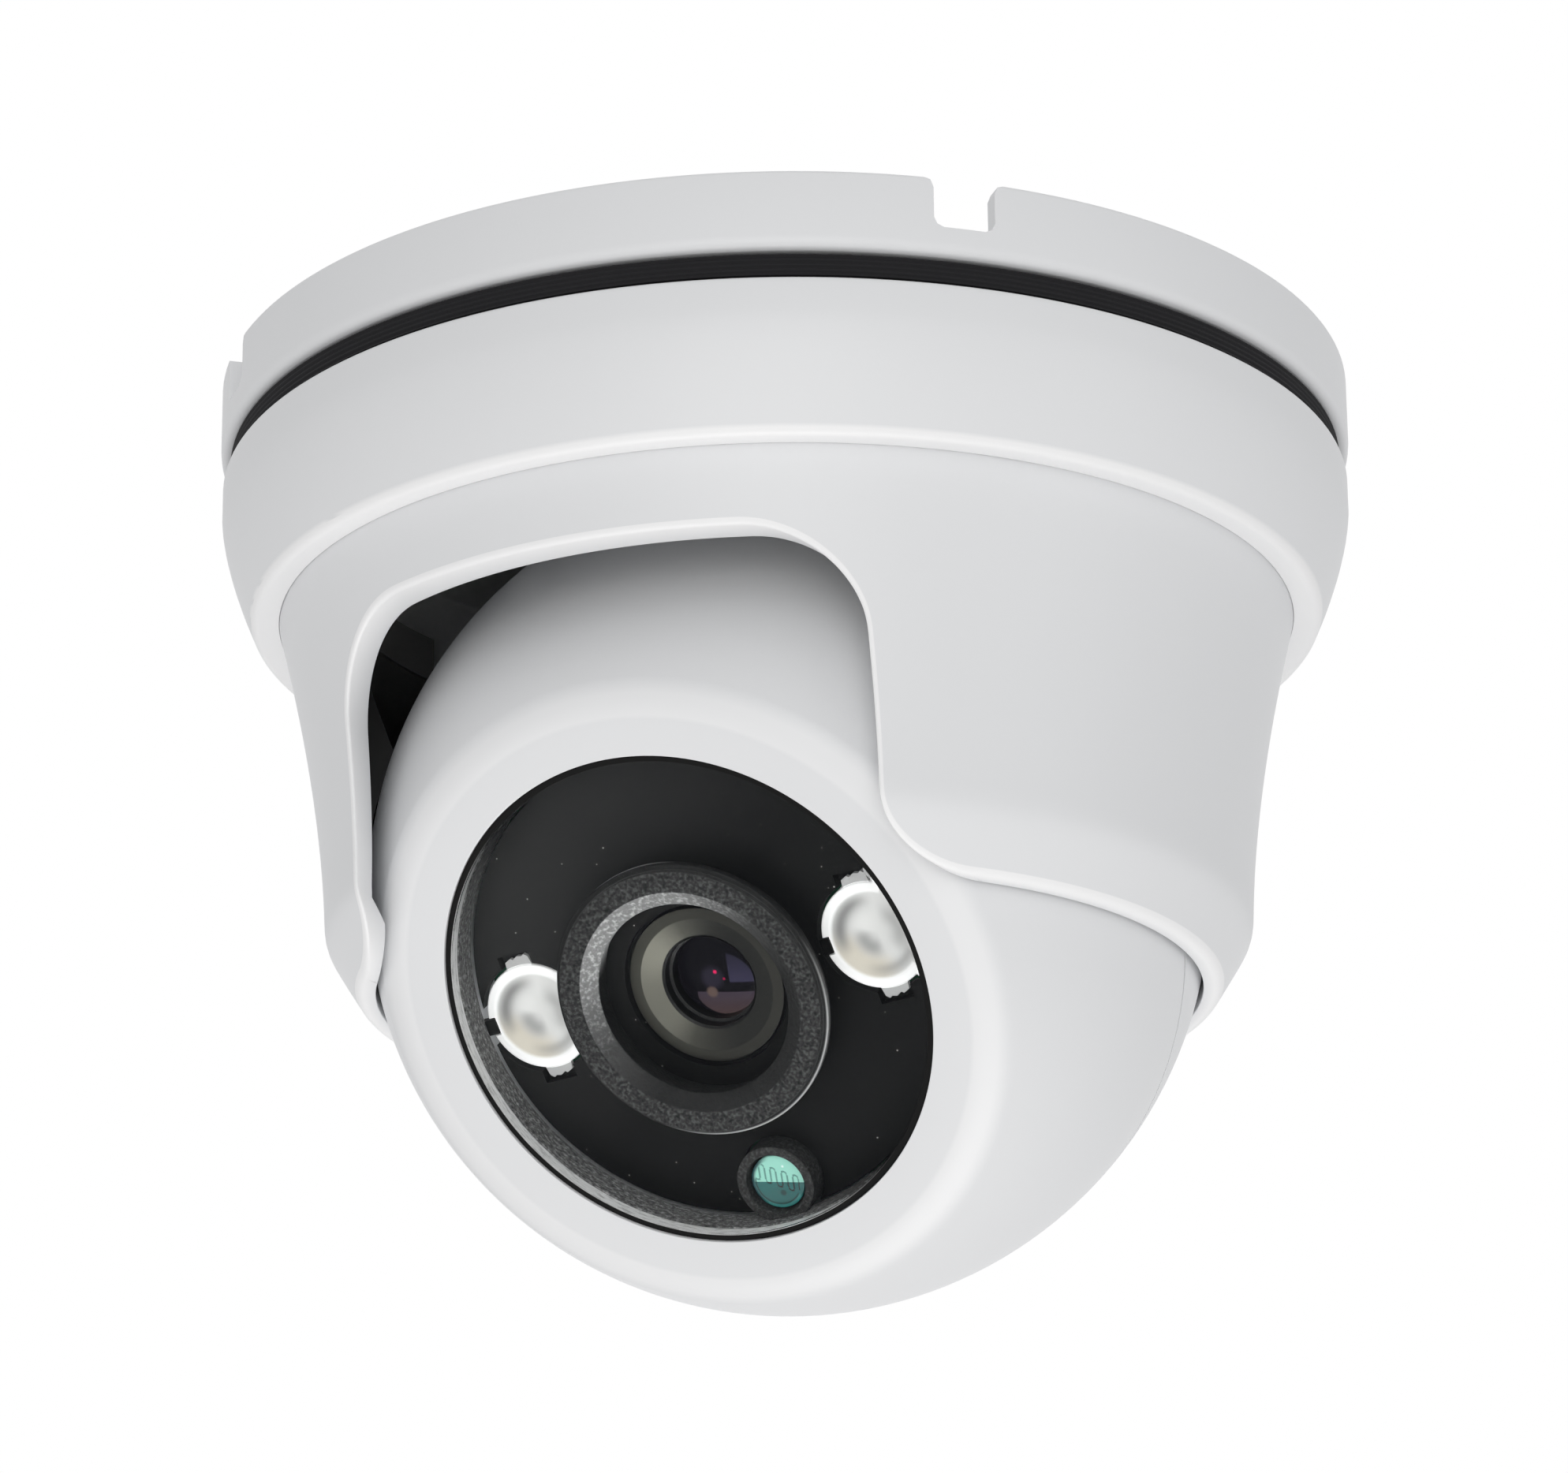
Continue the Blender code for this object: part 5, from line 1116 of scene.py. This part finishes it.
def paint_hood():
    tree = hood_rubber.node_tree
    depth = ball_place(tree, lens_axis)
    place = window_place(tree, -0.05, -0.33)
    # Painted light: the slope is painted pale where it faces the upper left.
    lit = soft_step(tree, facing(tree, place, UPPER_LEFT), -0.5, 1.0)
    pale = shades(tree, lit, 0, 1, [(0, grey(0.012)), (0.4, grey(0.06)), (0.75, grey(0.2)), (1, grey(0.4))])
    pale = blend_colour(tree, "MULTIPLY", soft_step(tree, lit, 0.1, 0.6), pale, flecks(tree, 0.3, 0.6, 1.5))
    slope = soft_step(tree, place[2], HOOD_FACE + 0.05, HOOD_FACE - 0.05)
    rim = soft_step(tree, place[2], HOOD_RIM - 0.03, HOOD_RIM)
    # Painted highlight: a thin line round the rim's edge, and a brighter one along its lower right.
    line = all_of(tree, ridge(tree, place[2], HOOD_RIM + 0.02, 0.05), 0.5)
    worn = all_of(tree, ridge(tree, place[2], HOOD_RADIUS - 0.08, 0.08), soft_step(tree, facing(tree, place, -55), 0.3, 0.9))
    # Painted shade and light: the bore below the slope is painted near black, with a pale crescent at the upper left.
    bore = soft_step(tree, depth, HOOD_FRONT - SLOPE_DROP - 0.05, HOOD_FRONT - SLOPE_DROP - 0.15)
    crescent = all_of(tree, bore, soft_step(tree, facing(tree, place, UPPER_LEFT), 0.75, 1.0))
    layers = [(rim, grey(0.012)), (line, grey(0.1)), (worn, grey(0.5)), (slope, pale), (bore, grey(0.006)), (crescent, grey(0.5))]
    recolour(hood_rubber, painted(tree, flecks(tree, 0.3, 0.001, 0.075), *layers))


paint_hood()
corners = [(HOOD_BORE + 0.4, HOOD_BACK), (HOOD_FOOT, HOOD_BACK), (HOOD_FOOT, HOOD_FRONT - RIM_BACK)]
corners += [(HOOD_RADIUS, HOOD_FRONT - RIM_BACK, 0.1), (HOOD_RADIUS, HOOD_FRONT - RIM_DROP, 0.15)]
corners += [(HOOD_RIM, HOOD_FRONT - RIM_DROP), (HOOD_RIM, HOOD_FRONT, 0.1)]
corners += [(HOOD_FACE, HOOD_FRONT, 0.2), (HOOD_BORE, HOOD_FRONT - SLOPE_DROP, 0.1), (HOOD_BORE, HOOD_FRONT - BORE_DROP)]
hood = turned("hood_ring", rounded(corners), hood_rubber, 256)
hand_over(hood, "ball", "black_rubber", "lens_hood", place=in_ball @ LENS_SHIFT)

# %% [markdown]
# ## Lens
# Deep in the hood sits the lens: a dark anodised barrel with a narrow front rim, a turned cone that gleams on the
# left, as painted light, and a black throat. At its end a small coated element mirrors the room, as a painted
# reflection: a blue patch, a mauve one, and two red sparks from the chip behind it. Mirrored light doesn't depend
# on the glass's own shade, so the element glows faintly.

# %% Turn and paint the barrel
LENS_FRONT, LENS_HEAD, LENS_RIM, LENS_THREAD = 18.485, 6.6, 5.65, 5.95
LENS_BACK, HEAD_BACK = 4.985, 14.985
CONE_RADIUS, CONE_END, THROAT, THROAT_END = 4.05, 17.935, 3.85, 16.9
POCKET, PUPIL = 3.15, 2.0
LEFT = 165


def paint_barrel():
    tree = lens_metal.node_tree
    place = window_place(tree, -0.05, -0.33)
    # Painted light: the cone and the rim are painted brighter on the left and darker on the right.
    lit = soft_step(tree, facing(tree, place, LEFT), -0.5, 1.0)
    cone = shades(tree, lit, 0, 1, [(0, (0.015, 0.015, 0.013, 1)), (0.6, (0.05, 0.049, 0.04, 1)), (1, (0.15, 0.147, 0.122, 1))])
    rim = shades(tree, lit, 0, 1, [(0, (0.03, 0.029, 0.024, 1)), (1, (0.055, 0.054, 0.044, 1))])
    painted_gleam = painted(tree, cone, (soft_step(tree, place[2], LENS_RIM - 0.03, LENS_RIM + 0.03), rim))
    throat = soft_step(tree, place[2], CONE_RADIUS + 0.03, CONE_RADIUS - 0.02)
    outside = soft_step(tree, place[2], LENS_HEAD - 0.06, LENS_HEAD - 0.02)
    recolour(lens_metal, painted(tree, painted_gleam, (throat, grey(0.006)), (outside, grey(0.01))))


paint_barrel()
corners = [(POCKET, LENS_BACK), (LENS_THREAD, LENS_BACK, 0.2), (LENS_THREAD, HEAD_BACK), (LENS_HEAD, HEAD_BACK, 0.1)]
corners += [(LENS_HEAD, LENS_FRONT, 0.08), (LENS_RIM, LENS_FRONT, 0.05), (CONE_RADIUS, CONE_END, 0.05)]
corners += [(THROAT, CONE_END - 0.15), (THROAT, THROAT_END), (THROAT - 0.25, THROAT_END - 0.1), (THROAT - 0.25, 12.885)]
corners += [(PUPIL, 12.885), (PUPIL, 6.885), (POCKET, 6.885)]
barrel = turned("lens_barrel_turned", rounded(corners), lens_metal, 160)
hand_over(barrel, "ball", "lens_metal", "lens_barrel", place=in_ball @ LENS_SHIFT)

# %% Turn and paint the elements
ELEMENT_RADIUS, ELEMENT_THICKNESS, ELEMENT_BULGE, FRONT_ELEMENT = 2.9, 1.6, 0.4, 14.7
MIRROR_X, MIRROR_Y, MIRROR_RADIUS = 0.2, -1.3, 2.8
# Painted reflection: the element's emission shows the room mirrored in its coating.
optical_glass = finish("optical_glass", (0.002, 0.002, 0.003), 0.06, 2.0, 0.0004, mottle=0.3, spread=0.02, Emission_Strength=1.0, Specular_IOR_Level=0.04)


def spot(tree, place, x, y, radius, edge):
    """A round spot on the element."""
    rightward = sum_node(tree, "SUBTRACT", place[0], x)
    upwards = sum_node(tree, "SUBTRACT", place[1], y)
    return soft_step(tree, distance_of(tree, rightward, upwards), radius + edge, radius)


def paint_element():
    tree = optical_glass.node_tree
    place = window_place(tree, MIRROR_X, MIRROR_Y, SLANT)
    rightward, upwards, distance = place
    in_front = soft_step(tree, ball_place(tree, lens_axis), FRONT_ELEMENT, FRONT_ELEMENT + 0.1)
    inside = all_of(tree, in_front, soft_step(tree, distance, MIRROR_RADIUS, MIRROR_RADIUS - 0.15))
    # Painted reflection: blue and mauve patches, a faint spot, a pale glint and two red sparks.
    blue = all_of(tree, inside, soft_step(tree, rightward, 0.5, 0.6), soft_step(tree, upwards, 0.1, 0.3))
    mauve = all_of(tree, inside, soft_step(tree, rightward, -2.5, -2.35), soft_step(tree, upwards, -0.6, -0.7))
    layers = [(all_of(tree, in_front, spot(tree, place, -0.9, 0.6, 0.5, 0.8)), (0.02, 0.017, 0.028, 1))]
    layers += [(blue, shades(tree, upwards, 0, 2.6, [(0, (0.04, 0.036, 0.07, 1)), (1, (0.02, 0.018, 0.032, 1))]))]
    layers += [(mauve, shades(tree, upwards, -2.6, -0.6, [(0, (0.06, 0.038, 0.038, 1)), (1, (0.048, 0.037, 0.052, 1))]))]
    layers += [(all_of(tree, in_front, spot(tree, place, -1.1, -0.65, 0.3, 0.3)), (0.11, 0.075, 0.065, 1))]
    layers += [(all_of(tree, in_front, spot(tree, place, -0.6, 1.1, 0.08, 0.14)), (0.75, 0.02, 0.12, 1))]
    layers += [(all_of(tree, in_front, spot(tree, place, 0.1, 0.5, 0.05, 0.1)), (0.35, 0.01, 0.06, 1))]
    painted_reflection = painted(tree, (0.002, 0.0015, 0.003, 1), *layers)
    tree.links.new(painted_reflection, tree.nodes["Principled BSDF"].inputs["Emission Color"])


def lens_element(name, low, radius, node):
    """A small coated lens: flat at the back, domed in front."""
    shoulder = low + ELEMENT_THICKNESS - ELEMENT_BULGE
    dome = [(radius * math.cos(a), shoulder + ELEMENT_BULGE * math.sin(a)) for a in np.linspace(0, math.pi / 2, 24)]
    profile = [(0, low), (radius, low), *dome[:-1], (0, shoulder + ELEMENT_BULGE), (0, low)]
    item = turned(name, profile, optical_glass, 96)
    hand_over(item, "ball", "optical_glass", node, place=in_ball @ LENS_SHIFT)


paint_element()
lens_element("front_element", FRONT_ELEMENT, THROAT - 0.3, "lens_front_element")
lens_element("rear_element", LENS_BACK, ELEMENT_RADIUS, "lens_rear_element")

# %% [markdown]
# ## Lamp lenses
# Each infrared lamp has a small frosted lens: a cup with a bright rim, a dished front with a ring-shaped swell, a
# notch for the mask's key, and a ragged moulding tab at the top and bottom. Light wanders inside the milky cup and
# leaves soft grey crescents, each at its own radius and on its own side. They are painted shade, from a short list;
# the rim's brightness and the lens's faint glowing are painted light.

# %% Paint the lamp lenses
LAMP_RADIUS, LAMP_BACK, LAMP_FRONT = 4.5, 14.285, 18.485
# Painted light: the lens gives off faint light in its own painted shades.
lamp_lens = finish("lamp_lens", (0.85, 0.85, 0.84), 0.3, 1.6, 0.02, mottle=0.04, Emission_Strength=0.18)
SHADE_CRESCENTS = ((3.0, 0.6, 140, 0.85), (1.3, 0.7, 215, 0.6), (2.0, 0.8, 5, 0.45), (3.0, 0.45, 295, 0.45))


def paint_lamp():
    tree = lamp_lens.node_tree
    repeated = sum_node(tree, "FLOORED_MODULO", ball_place(tree, across), 2 * LAMP_OFFSET)
    rightward = sum_node(tree, "SUBTRACT", repeated, LAMP_OFFSET)
    upwards = sum_node(tree, "SUBTRACT", ball_place(tree, upward), LAMP_RISE)
    place = (rightward, upwards, distance_of(tree, rightward, upwards))
    milky, beige = (0.66, 0.66, 0.65, 1), (0.62, 0.58, 0.5, 1)
    lower_left = all_of(tree, soft_step(tree, facing(tree, place, 225), 0.3, 0.95), soft_step(tree, place[2], 1.2, 2.6))
    shade = painted(tree, milky, (lower_left, beige))
    # Painted shade: grey crescents where light wanders in the cup.
    for radius, width, angle, depth in SHADE_CRESCENTS:
        side_mask = soft_step(tree, facing(tree, place, angle), 0.35, 1.0)
        mask = all_of(tree, ridge(tree, place[2], radius, width), side_mask, depth)
        shade = painted(tree, shade, (mask, grey(0.12)))
    # Painted highlight: the rim is painted nearly white.
    rim = soft_step(tree, place[2], 3.45, 3.85)
    shade = painted(tree, shade, (rim, grey(0.97)))
    shade = painted(tree, shade, (soft_step(tree, place[2], 4.52, 4.56), grey(0.4)))
    recolour(lamp_lens, shade)
    tree.links.new(shade, tree.nodes["Principled BSDF"].inputs["Emission Color"])


paint_lamp()

# %% Turn the lamp lenses
TAB_EDGE = [(-1.2, 4.3), (-1.1, 4.95), (-0.55, 5.2), (-0.35, 5.05), (0.1, 5.3), (0.55, 5.2), (0.75, 5.35), (1.05, 5.1), (1.2, 4.3)]


def lamp_front(radius):
    """The height of the dished front: a low swell in a shallow bowl, inside the raised rim."""
    share = radius / (LAMP_RADIUS - 0.6)
    return LAMP_FRONT - 0.75 * (1 - share**2) + 0.15 * math.exp(-((share - 0.45) / 0.2) ** 2)


def lamp_piece(name, side_sign, node):
    bowl = [(r, lamp_front(r)) for r in np.linspace(LAMP_RADIUS - 0.6, 0.05, 30)]
    corners = [(0, LAMP_BACK + 1.6), (3.6, LAMP_BACK + 1.6, 0.3), (3.6, LAMP_BACK), (LAMP_RADIUS, LAMP_BACK)]
    corners += [(LAMP_RADIUS, LAMP_FRONT, 0.2), (LAMP_RADIUS - 0.45, LAMP_FRONT, 0.15), *bowl, (0, lamp_front(0.0))]
    item = turned(name, rounded(corners), lamp_lens, 128)
    lower_tab = [(-x, -y) for x, y in TAB_EDGE]
    combine(item, "UNION", [outline_solid(tab, SLOT_FLOOR + 0.05, LAMP_FRONT - 0.15) for tab in (TAB_EDGE, lower_tab)])
    combine(item, "DIFFERENCE", [box(-5, -KEY_TIP + 0.12, -KEY_HALF - 0.12, KEY_HALF + 0.12, LAMP_FRONT - 1.0, LAMP_FRONT + 1)])
    item.data.transform(Matrix.Translation((side_sign * LAMP_OFFSET * MM, LAMP_RISE * MM, 0)))
    hand_over(item, "ball", "lamp_lens", node, place=in_ball)


lamp_piece("lamp_cup_left", -1, "lamp_lens_left")
lamp_piece("lamp_cup_right", 1, "lamp_lens_right")

# %% [markdown]
# ## Light sensor
# Below the lens a light sensor tells day from night. It looks out through a teal filter in a dark sleeve. The upper
# half of the filter is painted pale, as a painted reflection of the bright room, and the lower half is deep; a painted
# shadow lies along its left edge and a painted glint near its top. The sensor's track shows through it: straight
# runs joined by half circles, first at one end and then at the other, so every second cell is the same one upside down.

# %% Paint the sensor's track
teal_filter = finish("teal_filter", (0.16, 0.52, 0.46), 0.12, 1.0, 0.002, mottle=0.1, Coat_Weight=0.3)
SENSOR_RADIUS, FILTER_BACK, FILTER_FRONT, SLEEVE_FRONT = 2.3, 19.085, 19.885, 20.485
TRACK_CELL, TRACK_HALF, TRACK_WIDTH, TRACK_DROP = 0.47, 0.5, 0.1, 0.33
deep_teal, reflection_teal = (0.012, 0.13, 0.125, 1), (0.34, 0.74, 0.62, 1)


def track_mask(tree, rightward, upwards):
    """The zigzag: cells of one run and a half circle, turned over one after the other."""
    cells = sum_node(tree, "DIVIDE", rightward, TRACK_CELL)
    number = sum_node(tree, "FLOOR", cells, 0)
    in_cell = sum_node(tree, "SUBTRACT", sum_node(tree, "SUBTRACT", cells, number), 0.5)
    from_middle = sum_node(tree, "MULTIPLY", in_cell, TRACK_CELL)
    flip = sum_node(tree, "SUBTRACT", 1, sum_node(tree, "MULTIPLY", sum_node(tree, "FLOORED_MODULO", number, 2), 2))
    sloped = sum_node(tree, "ADD", upwards, sum_node(tree, "MULTIPLY", rightward, TRACK_DROP))
    height = sum_node(tree, "MULTIPLY", sloped, flip)
    above_run = sum_node(tree, "MAXIMUM", sum_node(tree, "SUBTRACT", height, TRACK_HALF), 0)
    off_line = sum_node(tree, "SUBTRACT", distance_of(tree, from_middle, above_run), TRACK_CELL / 2)
    on_line = soft_step(tree, sum_node(tree, "ABSOLUTE", off_line, 0), TRACK_WIDTH, TRACK_WIDTH / 2)
    return all_of(tree, on_line, soft_step(tree, height, -TRACK_HALF - 0.02, -TRACK_HALF))


def paint_filter():
    tree = teal_filter.node_tree
    place = window_place(tree, SENSOR_SIDE, SENSOR_DROP, SLANT)
    rightward, upwards, distance = place
    # Painted reflection: the upper half mirrors the room, so it and the track in it are painted paler.
    bright = soft_step(tree, upwards, -0.05, 0.0)
    lower = soft_step(tree, facing(tree, place, 250), 0.1, 0.3)
    # Painted shadow along the left edge.
    left_edge_shadow = all_of(tree, soft_step(tree, distance, 1.85, 2.15), soft_step(tree, facing(tree, place, 175), 0.3, 0.8))
    on_track = track_mask(tree, sum_node(tree, "SUBTRACT", rightward, 0.4), sum_node(tree, "SUBTRACT", upwards, 0.23))
    reach = soft_step(tree, sum_node(tree, "ABSOLUTE", rightward, 0), 1.9, 1.8)
    track = all_of(tree, on_track, reach, soft_step(tree, distance, 2.0, 1.9))
    ink = painted(tree, (0.002, 0.02, 0.02, 1), (bright, (0.12, 0.32, 0.27, 1)))
    layers = [(bright, reflection_teal), (spot(tree, place, 0.35, -0.95, 0.15, 0.2), (0.003, 0.05, 0.05, 1)), (track, ink)]
    # Painted shade and highlight on the lower edge: a dark line and a paler rim.
    layers += [(all_of(tree, ridge(tree, distance, 1.9, 0.06), lower), (0.002, 0.03, 0.03, 1))]
    layers += [(all_of(tree, soft_step(tree, distance, 1.97, 2.03), lower), (0.03, 0.22, 0.21, 1))]
    # The last layers are the painted shadow on the left edge and a painted glint near the top.
    layers += [(left_edge_shadow, (0.006, 0.05, 0.06, 1)), (spot(tree, place, 0.6, 1.35, 0.05, 0.1), (0.75, 0.95, 0.9, 1))]
    recolour(teal_filter, painted(tree, deep_teal, *layers))


paint_filter()

# %% Turn the light sensor


def on_sensor(item):
    item.data.transform(Matrix.Translation((SENSOR_SIDE * MM, SENSOR_DROP * MM, 0)))
    return item


corners = [(0, FILTER_BACK), (SENSOR_RADIUS, FILTER_BACK, 0.1), (SENSOR_RADIUS, FILTER_FRONT, 0.15), (0, FILTER_FRONT)]
disc = on_sensor(turned("sensor_filter_disc", rounded(corners), teal_filter, 96))
hand_over(disc, "ball", "teal_filter", "light_sensor_filter", place=in_ball)
sleeve_rubber = finish("sleeve_rubber", (0.04, 0.04, 0.04), 0.75, 0.25, 0.05, mottle=0.5, Specular_IOR_Level=0.3)
recolour(sleeve_rubber, flecks(sleeve_rubber.node_tree, 0.22, 0.015, 0.08))
corners = [(2.5, 14.285), (3.3, 14.285), (3.3, SLEEVE_FRONT, 0.15), (2.5, SLEEVE_FRONT, 0.2)]
sleeve = on_sensor(turned("sensor_sleeve_tube", rounded(corners), sleeve_rubber, 96))
hand_over(sleeve, "ball", "black_rubber", "light_sensor_sleeve", place=in_ball)

# %% [markdown]
# ## Pieces that keep their solid
# What is left is small, hidden or already right: the cable's grommet and gland, screws, boards and what is on
# them. They keep their solids and get their finishes, by the slot that the record gives them.

# %% Dress the other solids
red_filter = finish("red_filter", (0.45, 0.16, 0.2), 0.08, 2.0, 0.0004, mottle=0.1, spread=0.02)
slot_of = {name: part["material_slot"] for part in frame["record"]["subparts"] for name in [part["node"]]}
kept = [name for name, node in frame["nodes"].items() if not node.hide_render]
for name in kept:
    data = frame["nodes"][name].data
    data.materials.clear()
    data.materials.append(FINISHES[slot_of[name]])
print("solids kept:", len(kept))
